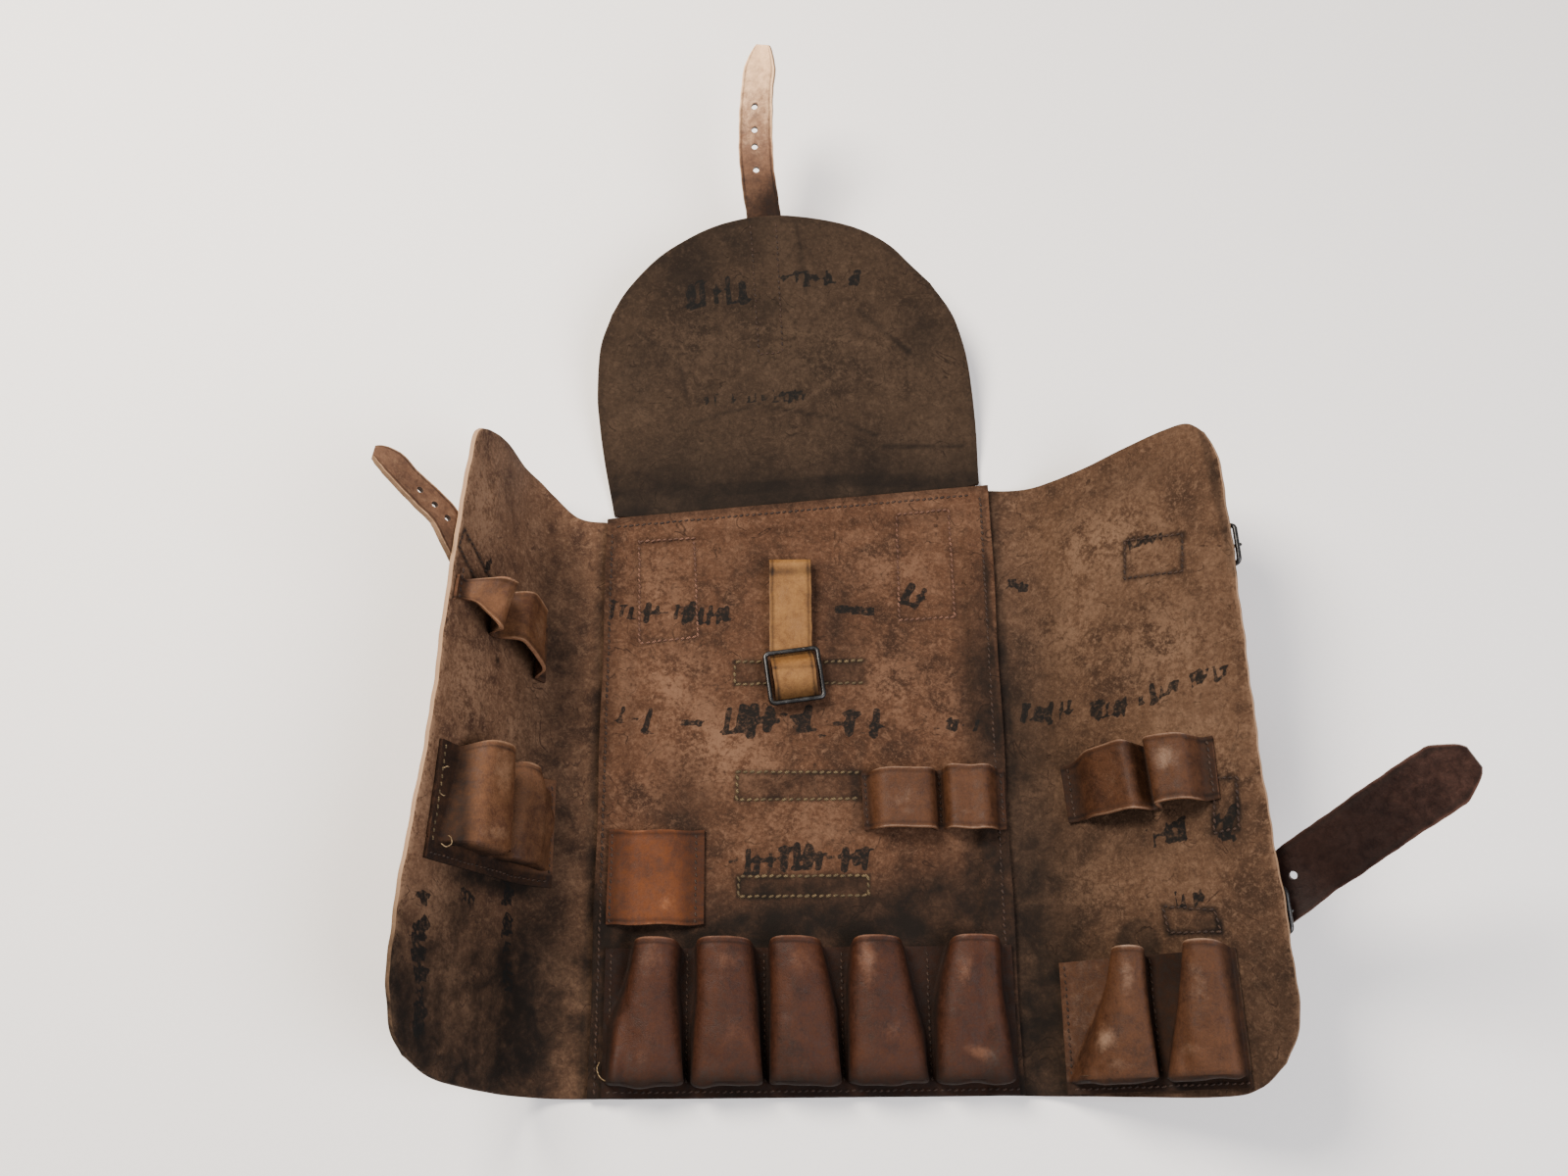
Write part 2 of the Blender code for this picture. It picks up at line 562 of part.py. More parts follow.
def punch(strap, centres, normals):
    """Cut one row of holes through a strap."""
    for index, (centre, normal) in enumerate(zip(centres, normals)):
        normal = np.array(normal) / np.linalg.norm(normal)
        guide = np.array([0.0, 1.0, 0.0]) if abs(normal[1]) < 0.9 else np.array([1.0, 0.0, 0.0])
        across = np.cross(normal, guide)
        across = across / np.linalg.norm(across)
        other = np.cross(normal, across)
        points, faces = [], []
        for end in (-5.0, 5.0):
            for k in range(HOLE_SIDES):
                turn = 2 * math.pi * k / HOLE_SIDES
                points.append(np.array(centre) + normal * end
                              + HOLE_RADIUS * (math.cos(turn) * across + math.sin(turn) * other))
        for k in range(HOLE_SIDES):
            j = (k + 1) % HOLE_SIDES
            faces.append((k, j, j + HOLE_SIDES, k + HOLE_SIDES))
        faces.append(tuple(reversed(range(HOLE_SIDES))))
        faces.append(tuple(range(HOLE_SIDES, 2 * HOLE_SIDES)))
        cutter = solid_from_faces(f"{strap.name}_hole_cutter_{index + 1}", points, faces,
                                  strap.data.materials[0])
        cutter.hide_render = True
        cutter.display_type = "WIRE"
        modifier = strap.modifiers.new(f"hole_{index + 1}", "BOOLEAN")
        modifier.operation = "DIFFERENCE"
        modifier.solver = "EXACT"
        modifier.object = cutter


def build_panel(leather):
    """The flat back, with ramps where it laps over the wings and the flap."""
    xs = [-125, -117, -110, -106.5, -103, -80, -52, -26, 0, 26, 52, 80, 103, 106.5, 110, 117, 125]
    from_top = [-7.0, -LAP_WIDTH - 0.5, -LAP_WIDTH - 4.0, -LAP_WIDTH - 7.5]
    ys = [PANEL_BOTTOM, -160, -125, -90, -55, -20, 15, 50, 85, 115, 140]
    upper, lower = [], []
    for index in range(len(ys) + 5):
        row_up, row_low = [], []
        for x in xs:
            top = panel_top_edge(x)
            if index < len(ys):
                y = ys[index]
            elif index < len(ys) + 4:
                y = top + from_top[3 - (index - len(ys))]
            else:
                y = top
            rise = panel_rise(x, y)
            row_up.append((x, y, BODY_THICK + rise))
            row_low.append((x, y, rise))
        upper.append(row_up)
        lower.append(row_low)
    return shell("centre_panel", upper, lower, leather)


def build_wing(name, side, outline, leather):
    lower_edge, upper_edge, outer_edge = outline
    inner_edge = [(lower_edge[0][0], lower_edge[0][1]), (lower_edge[0][0], 0.0), upper_edge[0]]
    grid = coons(lower_edge, upper_edge, inner_edge, outer_edge, 16, 12)
    upper = [[wing_point(side, s, y, 0.0) for s, y in row] for row in grid]
    lower = [[wing_point(side, s, y, -BODY_THICK) for s, y in row] for row in grid]
    return shell(name, upper, lower, leather)


def build_flap(leather):
    """The rounded flap and the tongue that runs under the panel's upper margin."""
    grid = coons(FLAP_BASE, FLAP_TOP, FLAP_LEFT, FLAP_RIGHT, 15, 9)
    narrow = FLAP_TONGUE_HALF / abs(FLAP_BASE[0][0])
    rows = [[(u * narrow, v) for u, _ in grid[0]] for v in (-FLAP_TONGUE_DEPTH - 3.4, -3.4)]
    rows += [[(u, v) for u, v in row] for row in grid]
    upper = [[flap_point(u, v, 0.0) for u, v in row] for row in rows]
    lower = [[flap_point(u, v, -BODY_THICK) for u, v in row] for row in rows]
    return shell("top_flap", upper, lower, leather)


def side_of(points, index, place, step=1.0):
    """Direction across a path laid on a sheet, found from the sheet itself."""
    before, after = points[max(index - 1, 0)], points[min(index + 1, len(points) - 1)]
    along = np.array([after[0] - before[0], after[1] - before[1]], dtype=float)
    along = along / np.linalg.norm(along)
    a, b = points[index][0], points[index][1]
    return place(a + along[1] * step, b - along[0] * step) - place(a, b)


def build_flap_strap(leather):
    """Strap sewn on the flap's outer face; its free end stands up beyond the flap."""
    depth = -BODY_THICK - GAP - STRAP_THICK / 2
    centres = [flap_point(u, v, depth) for u, v in FLAP_STRAP_SEWN]
    sides = [side_of(FLAP_STRAP_SEWN, i, lambda u, v: flap_point(u, v, depth))
             for i in range(len(FLAP_STRAP_SEWN))]
    centres += [np.array(row[:3]) for row in FLAP_STRAP_FREE]
    sides += [np.array([1.0, -0.06, row[3]]) for row in FLAP_STRAP_FREE]
    strap = ribbon("flap_strap", centres, sides, FLAP_STRAP_WIDTH, STRAP_THICK, leather, tip=11.0)
    holes = [(-26.2, 405.2, 59.5), (-27.1, 421.0, 63.6), (-27.1, 432.1, 66.9), (-27.0, 447.0, 72.2)]
    punch(strap, holes, [(0.05, -0.25, 0.97)] * 4)
    return strap


def build_left_strap(leather):
    """Strap sewn on the outer face of the left wing, its free end leaning out over the edge."""
    depth = -BODY_THICK - GAP - STRAP_THICK / 2 - 0.4
    centres = [wing_point(-1, s, y, depth) for s, y in LEFT_STRAP_SEWN]
    sides = [side_of(LEFT_STRAP_SEWN, i, lambda s, y: wing_point(-1, s, y, depth))
             for i in range(len(LEFT_STRAP_SEWN))]
    centres += [np.array(row[:3]) for row in LEFT_STRAP_FREE]
    sides += [np.array(row[3:]) for row in LEFT_STRAP_FREE]
    strap = ribbon("left_strap", centres, sides, LEFT_STRAP_WIDTH, STRAP_THICK, leather, tip=11.0)
    holes = [lerp(centres[a], centres[a + 1], t) for a, t in ((4, -0.15), (4, 0.55), (5, 0.35))]
    punch(strap, holes, [(0.62, 0.28, 0.73)] * 3)
    return strap


def build_right_strap(leather):
    """Wide strap that starts under the right wing and passes below the lower buckle."""
    centres = [wing_point(1, s, y, n) for s, y, n in RIGHT_STRAP_SEWN]
    sides = []
    for i, row in enumerate(RIGHT_STRAP_SEWN):
        sides.append(side_of(RIGHT_STRAP_SEWN, i, lambda s, y, n=row[2]: wing_point(1, s, y, n)))
    centres += [np.array(row[:3]) for row in RIGHT_STRAP_FREE]
    sides += [np.array(row[3:]) for row in RIGHT_STRAP_FREE]
    strap = ribbon("right_strap", centres, sides, RIGHT_STRAP_WIDTH, STRAP_THICK, leather, tip=14.0)
    punch(strap, [centres[8] - np.array([8.5, 4.0, 6.8])], [(-0.52, -0.3, 0.8)])
    return strap


def build_tab(leather):
    """Doubled tab with a rolled top; it dips under the frame's upper bar and swells inside the frame."""
    centres = [panel_point(x, y, n) for x, y, n in TAB_PATH]
    turn = math.radians(FRAME_TURN)
    sides = []
    for x, y, n in TAB_PATH:
        share = 1.0 - smoothstep(84.0, 112.0, y)
        sides.append((math.cos(turn * share), math.sin(turn * share), 0.0))
    return ribbon("tab_strap", centres, sides, TAB_WIDTH, STRAP_THICK, leather)


def build_slide_frame(metal):
    turn = math.radians(FRAME_TURN)
    half_a, half_b = FRAME_SIZE[0] / 2, FRAME_SIZE[1] / 2
    path = []
    for a, b in rounded_rectangle(half_a, half_b, FRAME_CORNER, 2):
        x = FRAME_CENTRE[0] + a * math.cos(turn) - b * math.sin(turn)
        y = FRAME_CENTRE[1] + a * math.sin(turn) + b * math.cos(turn)
        n = lerp(FRAME_HEIGHTS[1], FRAME_HEIGHTS[0], (b + half_b) / (2 * half_b))
        path.append(panel_point(x, y, n))
    return ring("slide_frame", path, WIRE_RADIUS, 8, metal)


def build_buckle(label, middle, leather, metal):
    """Folded chape, wire frame and prong on the outer face of the right wing."""
    half_bar = (BUCKLE_OUTER_BAR - BUCKLE_INNER_BAR) / 2
    centre_s = (BUCKLE_OUTER_BAR + BUCKLE_INNER_BAR) / 2
    path = [wing_point(1, centre_s + a, middle + b, BUCKLE_DEPTH)
            for a, b in rounded_rectangle(half_bar, BUCKLE_HALF_WIDTH - WIRE_RADIUS, FRAME_CORNER, 2)]
    ring(f"{label}_buckle", path, WIRE_RADIUS, 8, metal)
    near = -BODY_THICK - GAP - CHAPE_THICK / 2
    far = 2 * BUCKLE_DEPTH - near
    reach = near - BUCKLE_DEPTH
    fold = [(CHAPE_START, near), (115.0, near)]
    for degrees in (90, 54, 18, -18, -54, -90):
        turn = math.radians(degrees)
        fold.append((BUCKLE_INNER_BAR + reach * math.cos(turn), BUCKLE_DEPTH + reach * math.sin(turn)))
    fold += [(115.0, far), (CHAPE_START + 10.0, far)]
    centres = [wing_point(1, s, middle, n) for s, n in fold]
    sides = [wing_point(1, s, middle + 8.0, n) - wing_point(1, s, middle - 8.0, n) for s, n in fold]
    ribbon(f"{label}_chape", centres, sides, CHAPE_WIDTH, CHAPE_THICK, leather)
    lift = BUCKLE_DEPTH - WIRE_RADIUS - GAP - 1.1
    start = BUCKLE_INNER_BAR + reach + CHAPE_THICK / 2 + GAP + 0.2
    prong = [wing_point(1, start, middle, BUCKLE_DEPTH - 0.5), wing_point(1, start + 4.0, middle, BUCKLE_DEPTH - 1.6),
             wing_point(1, BUCKLE_OUTER_BAR - 4.0, middle, lift), wing_point(1, BUCKLE_OUTER_BAR + 1.8, middle, lift)]
    rod(f"{label}_prong", prong, 1.1, 8, metal)


def build_all():
    clear_scene()
    body = make_material("body_leather", (0.16, 0.085, 0.047), 0.75)
    wing = make_material("wing_leather", (0.19, 0.105, 0.058), 0.78)
    flap = make_material("flap_leather", (0.11, 0.06, 0.034), 0.78)
    grain = make_material("pocket_leather", (0.21, 0.08, 0.045), 0.48)
    wing_grain = make_material("wing_pocket_leather", (0.19, 0.09, 0.048), 0.5)
    orange = make_material("patch_leather", (0.43, 0.17, 0.06), 0.55)
    tan = make_material("tab_leather", (0.42, 0.24, 0.1), 0.6)
    strap = make_material("strap_leather", (0.27, 0.14, 0.075), 0.62)
    dark = make_material("dark_strap_leather", (0.1, 0.035, 0.02), 0.45)
    black = make_material("black_metal", (0.016, 0.016, 0.018), 0.4, 0.9)
    build_panel(body)
    build_wing("left_wing", -1, (LEFT_LOWER, LEFT_TOP, LEFT_OUTER), wing)
    build_wing("right_wing", 1, (RIGHT_LOWER, RIGHT_TOP, RIGHT_OUTER), wing)
    build_flap(flap)
    for number, spec in enumerate(PANEL_POCKETS, 1):
        surface = ramp_point if spec[0] < -LAP_RAMP_END else panel_point
        pocket(f"pocket_{number}", surface, spec, PANEL_POCKET_ROWS, PANEL_POCKET_MARGIN, grain)
    for label, side, specs, rows, margin in (
            ("right", 1, RIGHT_POCKETS, RIGHT_POCKET_ROWS, RIGHT_POCKET_MARGIN),
            ("left", -1, LEFT_POCKETS, LEFT_POCKET_ROWS, LEFT_POCKET_MARGIN)):
        for number, spec in enumerate(specs, 1):
            pocket(f"{label}_pocket_{number}", lambda s, y, n, k=side: wing_seat(k, s, y, n),
                   spec, rows, margin, wing_grain)
    bridge("centre_loops", panel_point, CENTRE_LOOPS, POCKET_THICK, wing_grain)
    bridge("right_loops", lambda s, y, n: wing_seat(1, s, y, n), RIGHT_LOOPS, POCKET_THICK, wing_grain)
    bridge("left_loops", lambda s, y, n: wing_seat(-1, s, y, n), LEFT_LOOPS, POCKET_THICK, wing_grain)
    bridge("patch_band", panel_point, PATCH_BAND, POCKET_THICK, orange, radius=5.0)
    build_tab(tan)
    build_slide_frame(black)
    build_flap_strap(strap)
    build_left_strap(strap)
    build_right_strap(dark)
    for label, middle in BUCKLES.items():
        build_buckle(label, middle, strap, black)


build_all()
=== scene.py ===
# %% [markdown]
# # Opened leather tool roll
#
# This lesson dresses the solids of a leather tool roll. The roll lies open on a pale floor: a flat
# panel, two wings that stand up beside it, and a rounded flap at the far end. Box pockets, tool loops,
# a tan tab with a wire slide, straps and buckles are sewn on it.
#
# The solids give the places and sizes. Every leather piece is modelled again here as one thin sheet, so
# that its edges, folds and worn spots can be seen.

import math
import random

import bpy
import numpy as np
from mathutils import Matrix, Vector


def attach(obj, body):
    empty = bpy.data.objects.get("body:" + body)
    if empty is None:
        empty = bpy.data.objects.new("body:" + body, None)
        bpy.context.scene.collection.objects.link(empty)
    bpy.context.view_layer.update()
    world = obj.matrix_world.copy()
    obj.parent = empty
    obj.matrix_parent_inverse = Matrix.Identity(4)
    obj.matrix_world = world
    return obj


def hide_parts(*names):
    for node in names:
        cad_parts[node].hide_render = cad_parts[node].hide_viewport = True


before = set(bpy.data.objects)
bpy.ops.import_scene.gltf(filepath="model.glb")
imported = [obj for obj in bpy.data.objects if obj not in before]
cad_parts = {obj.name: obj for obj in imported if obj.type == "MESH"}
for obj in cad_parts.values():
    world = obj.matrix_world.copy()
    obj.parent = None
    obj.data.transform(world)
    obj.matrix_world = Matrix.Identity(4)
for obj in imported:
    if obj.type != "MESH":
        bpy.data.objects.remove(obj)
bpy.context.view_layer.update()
MM = 0.001
random.seed(7)

# %% [markdown]
# ## Where things lie
#
# Leather bends in one direction at a time. So a wing can be described flat, as the distance out from its
# seam and the place along it, and then be rolled up. Three functions do that, for the panel, the wings
# and the flap. A pocket that is drawn on the flat wing then follows the bend by itself. Lengths in the
# tables are millimetres.

# %% Small number helpers
def lerp(a, b, t):
    return a + (b - a) * t


def ease(low, high, value):
    """0 below low, 1 above high, and a soft S between them."""
    t = np.clip((np.asarray(value, dtype=float) - low) / (high - low), 0.0, 1.0)
    return t * t * (3.0 - 2.0 * t)


def soft_curve(points, count):
    """Spread count points evenly along a smooth curve through the given points."""
    fine = 24
    pts = np.array(points, dtype=float)
    padded = np.vstack([2 * pts[0] - pts[1], pts, 2 * pts[-1] - pts[-2]])
    curve = []
    for i in range(1, len(padded) - 2):
        p0, p1, p2, p3 = padded[i - 1:i + 3]
        for t in np.linspace(0.0, 1.0, fine, endpoint=False):
            curve.append(0.5 * (2 * p1 + (p2 - p0) * t + (2 * p0 - 5 * p1 + 4 * p2 - p3) * t ** 2
                                + (3 * p1 - p0 - 3 * p2 + p3) * t ** 3))
    curve = np.array(curve + [pts[-1]])
    run = np.concatenate([[0.0], np.cumsum(np.linalg.norm(np.diff(curve, axis=0), axis=1))])
    want = np.linspace(0.0, run[-1], count)
    return np.column_stack([np.interp(want, run, curve[:, k]) for k in range(curve.shape[1])])


def relief(a, b, seed):
    """Low waves of a millimetre or less, as in leather that was folded and carried for years."""
    wave = 0.0
    for k, (size, amount) in enumerate(((95.0, 0.5), (52.0, 0.32), (29.0, 0.2), (17.0, 0.1))):
        turn = seed * 1.7 + k * 2.1
        wave = wave + amount * np.sin((a * math.cos(turn) + b * math.sin(turn)) / size * 2 * math.pi + turn * 3)
        wave = wave * (0.75 + 0.25 * np.sin((b * math.cos(turn) - a * math.sin(turn)) / size * 4.1 + seed))
    return wave


# %% The centre panel's surface
BODY_THICK = 3.0
PANEL_HALF, PANEL_LOW = 125.0, -186.0
PANEL_TOP = (174.5, 196.5)
LAP_WIDTH, LAP_RISE = 14.0, 3.3
RAMP = (103.0, 110.0)


def panel_top(x):
    return lerp(PANEL_TOP[0], PANEL_TOP[1], (x + PANEL_HALF) / (2 * PANEL_HALF))


def on_panel(x, y, n):
    """Points at height n above the panel. It steps up where it laps over the wings and the flap."""
    x, y, n = np.broadcast_arrays(*[np.asarray(v, dtype=float) for v in (x, y, n)])
    beside = ease(RAMP[0] - 1, RAMP[1] + 1, np.abs(x))
    above = ease(-LAP_WIDTH - 8.5, -LAP_WIDTH + 0.5, y - panel_top(x))
    lift = LAP_RISE * np.maximum(beside, above)
    calm = ease(PANEL_LOW - 5, PANEL_LOW + 30, y) * (1 - ease(PANEL_HALF - 22, PANEL_HALF, np.abs(x)))
    return np.stack([x, y, BODY_THICK + lift + relief(x, y, 1.0) * calm * 0.45 + n], axis=-1) * MM


# %% The wings' surface
WING_FLAT = 6.0
BEND_RADIUS = {-1: 45.0, 1: 40.0}
WING_ANGLES = {-1: (65.0, 80.0), 1: (32.0, 44.0)}


def on_wing(side, s, y, n):
    """Points s out from the seam and n above the inner face; side is -1 for left and 1 for right."""
    s, y, n = np.broadcast_arrays(*[np.asarray(v, dtype=float) for v in (s, y, n)])
    t = np.clip((y + 186.0) / 372.0, -0.2, 1.2)
    low, high = WING_ANGLES[side]
    angle = np.radians(lerp(low, high, t * np.abs(t) if side < 0 else t))
    radius = BEND_RADIUS[side]
    reach = ease(40.0, 150.0, s)
    if side < 0:
        wave = reach * (1.6 * np.sin(y / 41.0 + 0.6) + 0.5 * np.sin(y / 30.0 + s / 60.0))
    else:
        wave = reach * (1.4 * np.sin(y / 47.0 + 2.0) + 0.5 * np.sin(y / 33.0 - s / 50.0))
    height = n + wave + relief(s, y, 2.0 + side) * ease(4.0, 45.0, s) * 0.7
    turn = np.clip((s - WING_FLAT) / radius, 0.0, angle)
    rest = np.maximum(s - WING_FLAT - radius * angle, 0.0)
    x = np.minimum(s, WING_FLAT) + radius * np.sin(turn) + rest * np.cos(turn) - height * np.sin(turn)
    z = radius * (1 - np.cos(turn)) + rest * np.sin(turn) + height * np.cos(turn)
    return np.stack([side * (PANEL_HALF + x), y, BODY_THICK + z], axis=-1) * MM


def on_left(s, y, n):
    return on_wing(-1, s, y, n)


def on_right(s, y, n):
    return on_wing(1, s, y, n)


# %% The flap's surface
CREASE = ((-125.0, 178.3), (125.0, 200.2))
FLAP_ANGLES = (13.0, 20.0)
FLAP_BEND, FLAP_LENGTH = 22.0, 192.0
crease_mid = (np.array(CREASE[0]) + np.array(CREASE[1])) / 2
crease_way = np.array(CREASE[1]) - np.array(CREASE[0])
crease_way = crease_way / np.linalg.norm(crease_way)
flap_way = np.array([-crease_way[1], crease_way[0]])


def flap_angle(v):
    first = ease(0.0, FLAP_BEND, v) * FLAP_ANGLES[0]
    return np.radians(first + ease(FLAP_BEND, FLAP_LENGTH, v) * (FLAP_ANGLES[1] - FLAP_ANGLES[0]))


flap_steps = np.arange(0.0, FLAP_LENGTH + 21.0)
flap_run = np.concatenate([[0.0], np.cumsum(np.cos(flap_angle(flap_steps[:-1] + 0.5)))])
flap_rise = np.concatenate([[0.0], np.cumsum(np.sin(flap_angle(flap_steps[:-1] + 0.5)))])


def on_flap(u, v, n):
    """Points u along the crease, v up the flap and n above its inner face."""
    u, v, n = np.broadcast_arrays(*[np.asarray(k, dtype=float) for k in (u, v, n)])
    up = np.maximum(v, 0.0)
    wave = relief(u, v, 4.0) * ease(5.0, 60.0, v) * 0.9
    run = np.where(v > 0, np.interp(up, flap_steps, flap_run), v) - (n + wave) * np.sin(flap_angle(up))
    rise = np.interp(up, flap_steps, flap_rise) + (n + wave) * np.cos(flap_angle(up))
    flat = crease_mid + u[..., None] * crease_way + run[..., None] * flap_way
    return np.concatenate([flat, (BODY_THICK + rise)[..., None]], axis=-1) * MM


print("wing edge at mid height", on_left(150, 0, 0).round(3), on_right(160, 0, 0).round(3))

# %% [markdown]
# ## Leather as a material
#
# Two sides of the same hide are seen here. The rough flesh side faces up: dull, fibrous, blotched by
# sweat, oil and ink. The pockets, loops and straps show the smooth grain side: finer, darker, with a
# soft sheen and pale scuffs. Both are Principled shaders. Noise at a few real sizes, from hand-wide
# stains down to single fibres, mixes the colours and feeds the bump, and attributes that are painted on
# each piece say where it is grimy, worn or inked, and where shade is painted into its colour.

# %% Colour and node helpers
def linear(code):
    """Turn an sRGB hex colour into the linear values that the shader wants."""
    parts = [int(code[k:k + 2], 16) / 255 for k in (1, 3, 5)]
    return tuple(c / 12.92 if c <= 0.04045 else ((c + 0.055) / 1.055) ** 2.4 for c in parts) + (1.0,)


def add(tree, kind, sockets=None, out=0, **settings):
    """Add one node. Each socket gets a link, a hex colour or a plain value, and one output comes back."""
    made = tree.nodes.new("ShaderNode" + kind)
    for name, value in settings.items():
        setattr(made, name, value)
    for key, source in (sockets or {}).items():
        if isinstance(source, bpy.types.NodeSocket):
            tree.links.new(source, made.inputs[key])
        else:
            made.inputs[key].default_value = linear(source) if isinstance(source, str) else source
    return made.outputs[out]


def per_mm(size):
    """The Scale of a pattern whose blobs or cells are about this many millimetres across."""
    return 1.0 / (size * MM)


# A MapRange node with soft ends, and a Mix node for colours with the index of its colour output.
SOFT_ENDS = {"interpolation_type": "SMOOTHSTEP"}
COLOURS, MIXED = {"data_type": "RGBA"}, 2
# Dark tints for the grime layer: real grime, and shade that some pieces paint into it.
FLESH_DIRT_AND_SHADE, GRAIN_DIRT_AND_SHADE, OLD_INK = "#130e0a", "#160d08", "#0e0e0d"


def start_material(name, **plain):
    """A new material, its node tree and its coordinates; plain values go to the Principled shader."""
    material = bpy.data.materials.new(name)
    material.use_nodes = True
    tree = material.node_tree
    for key, value in plain.items():
        tree.nodes["Principled BSDF"].inputs[key.replace("_", " ")].default_value = value
    return material, tree, add(tree, "TexCoord", out="Object")


def end_material(tree, strength, depth_mm, height, **patterns):
    """Feed the shader with its patterns, and with a height that a Bump node turns into slopes."""
    patterns["Normal"] = add(tree, "Bump", {"Strength": strength, "Distance": depth_mm * MM, "Height": height})
    for key, source in patterns.items():
        tree.links.new(source, tree.nodes["Principled BSDF"].inputs[key.replace("_", " ")])


def weigh(tree, *parts):
    """Add patterns up, each times its weight."""
    result = 0.0
    for pattern, weight in parts:
        result = add(tree, "Math", {0: pattern, 1: weight, 2: result}, operation="MULTIPLY_ADD")
    return result


def stain(tree, colour, pattern, low, high, strength, tint):
    """Lay a tint over the colour where the pattern goes from low to high, at most this strongly."""
    share = add(tree, "MapRange", {"Value": pattern, "From Min": low, "From Max": high, "To Max": strength},
                **SOFT_ENDS)
    return add(tree, "Mix", {0: share, 6: colour, 7: tint}, MIXED, **COLOURS)


# %% The rough flesh side
def flesh_leather(name, dark, middle, light, blotch=60.0, bump=0.5, drag=0.6):
    """Vegetable-tanned hide seen from its flesh side: dull, fibrous, stained and scratched."""
    material, tree, coords = start_material(name, Roughness=0.82, Specular_IOR_Level=0.12)
    # Tools dragged over the leather leave scratches, so one noise is stretched one way.
    pulled = add(tree, "Mapping", {"Vector": coords, "Rotation": (0.0, 0.0, drag), "Scale": (1.0, 14.0, 4.0)},
                 vector_type="TEXTURE")
    # Each row: coordinates, size in mm, detail, roughness, distortion.
    big, mid, fine, grit, patchy, scratch, slow = [
        add(tree, "TexNoise", {"Vector": vector, "Scale": per_mm(size), "Detail": detail, "Roughness": rough,
                               "Distortion": bend})
        for vector, size, detail, rough, bend in (
            (coords, blotch, 3.0, 0.55, 0.5), (coords, 13.0, 6.0, 0.66, 0.35), (coords, 2.4, 5.0, 0.75, 0.0),
            (coords, 0.9, 2.0, 0.6, 0.0), (coords, 5.5, 6.0, 0.72, 0.5), (pulled, 1.5, 4.0, 0.65, 0.15),
            (coords, 34.0, 3.0, 0.5, 0.8))]
    # Dry leather cracks into small cells. Another noise bends the cells, so that no straight edge is left.
    shift = add(tree, "TexNoise", {"Vector": coords, "Scale": per_mm(9.0), "Detail": 3.0}, "Color")
    shift = add(tree, "VectorMath", {0: shift, 1: (0.008, 0.008, 0.008)}, operation="MULTIPLY")
    bent = add(tree, "VectorMath", {0: coords, 1: shift}, operation="ADD")
    cells = add(tree, "TexVoronoi", {"Vector": bent, "Scale": per_mm(4.2)}, feature="DISTANCE_TO_EDGE")
    dry = add(tree, "MapRange", {"Value": mid, "From Min": 0.42, "From Max": 0.6}, **SOFT_ENDS)
    cracks = add(tree, "MapRange", {"Value": cells, "From Min": 0.16, "From Max": 0.02, "To Max": dry},
                 **SOFT_ENDS)
    # Where a slow noise passes its middle value lies a long winding line: a crease from being rolled up.
    winding = add(tree, "Math", {0: slow, 1: 0.5}, operation="SUBTRACT")
    winding = add(tree, "Math", {0: winding}, operation="ABSOLUTE")
    folded = add(tree, "MapRange", {"Value": mid, "From Min": 0.48, "From Max": 0.6}, **SOFT_ENDS)
    crease = add(tree, "MapRange", {"Value": winding, "From Min": 0.011, "From Max": 0.002, "To Max": folded},
                 **SOFT_ENDS)
    mottle = weigh(tree, (big, 0.5), (mid, 0.5))
    tooled = add(tree, "MapRange", {"Value": mid, "From Min": 0.47, "From Max": 0.62, "To Max": 0.35},
                 **SOFT_ENDS)
    worn, grime_and_shade, ink = [add(tree, "Attribute", out="Fac", attribute_name=layer)
                        for layer in ("worn", "grime_and_shade", "ink")]
    colour = dark
    for pattern, low, high, strength, tint in (
            (mottle, 0.36, 0.53, 1.0, middle), (mottle, 0.5, 0.68, 0.5, light), (patchy, 0.52, 0.68, 0.5, light),
            (patchy, 0.48, 0.34, 0.55, dark), (fine, 0.5, 0.7, 0.5, light), (fine, 0.5, 0.3, 0.55, dark),
            (grit, 0.55, 0.75, 0.35, light), (scratch, 0.58, 0.66, tooled, light)):
        colour = stain(tree, colour, pattern, low, high, strength, tint)
    split = weigh(tree, (cracks, 0.28), (crease, 0.7))
    colour = add(tree, "Mix", {0: split, 6: colour, 7: dark}, MIXED, **COLOURS)
    colour = stain(tree, colour, weigh(tree, (fine, 1.0), (mid, 1.0)), 0.86, 1.12, worn, light)
    # Grime darkens the colour here, and so does shade painted into the same layer.
    dirt_and_shade = add(tree, "MapRange", {"Value": mottle, "From Min": 0.68, "From Max": 0.38, "To Min": 0.6},
                 **SOFT_ENDS)
    dirt_and_shade = add(tree, "Math", {0: grime_and_shade, 1: dirt_and_shade}, operation="MULTIPLY")
    colour = add(tree, "Mix", {0: dirt_and_shade, 6: colour, 7: FLESH_DIRT_AND_SHADE}, MIXED, **COLOURS)
    # Old stamp ink that has rubbed away to blots: no shape of it can be read.
    left = add(tree, "MapRange", {"Value": fine, "From Min": 0.7, "From Max": 0.45, "To Min": 0.45,
                                  "To Max": 0.95}, **SOFT_ENDS)
    blots = weigh(tree, (mid, 0.7), (fine, 0.25), (ink, 0.6))
    blots = add(tree, "MapRange", {"Value": blots, "From Min": 0.86, "From Max": 0.93, "To Max": left},
                **SOFT_ENDS)
    colour = add(tree, "Mix", {0: blots, 6: colour, 7: OLD_INK}, MIXED, **COLOURS)
    bare = add(tree, "Math", {0: 1.0, 1: blots}, operation="SUBTRACT")
    bare = add(tree, "Math", {0: cracks, 1: bare}, operation="MULTIPLY")
    height = weigh(tree, (fine, 0.6), (mid, 0.8), (patchy, 0.5), (bare, -0.12), (crease, -0.6), (grit, 0.25))
    end_material(tree, bump, 1.0, height, Base_Color=colour)
    return material


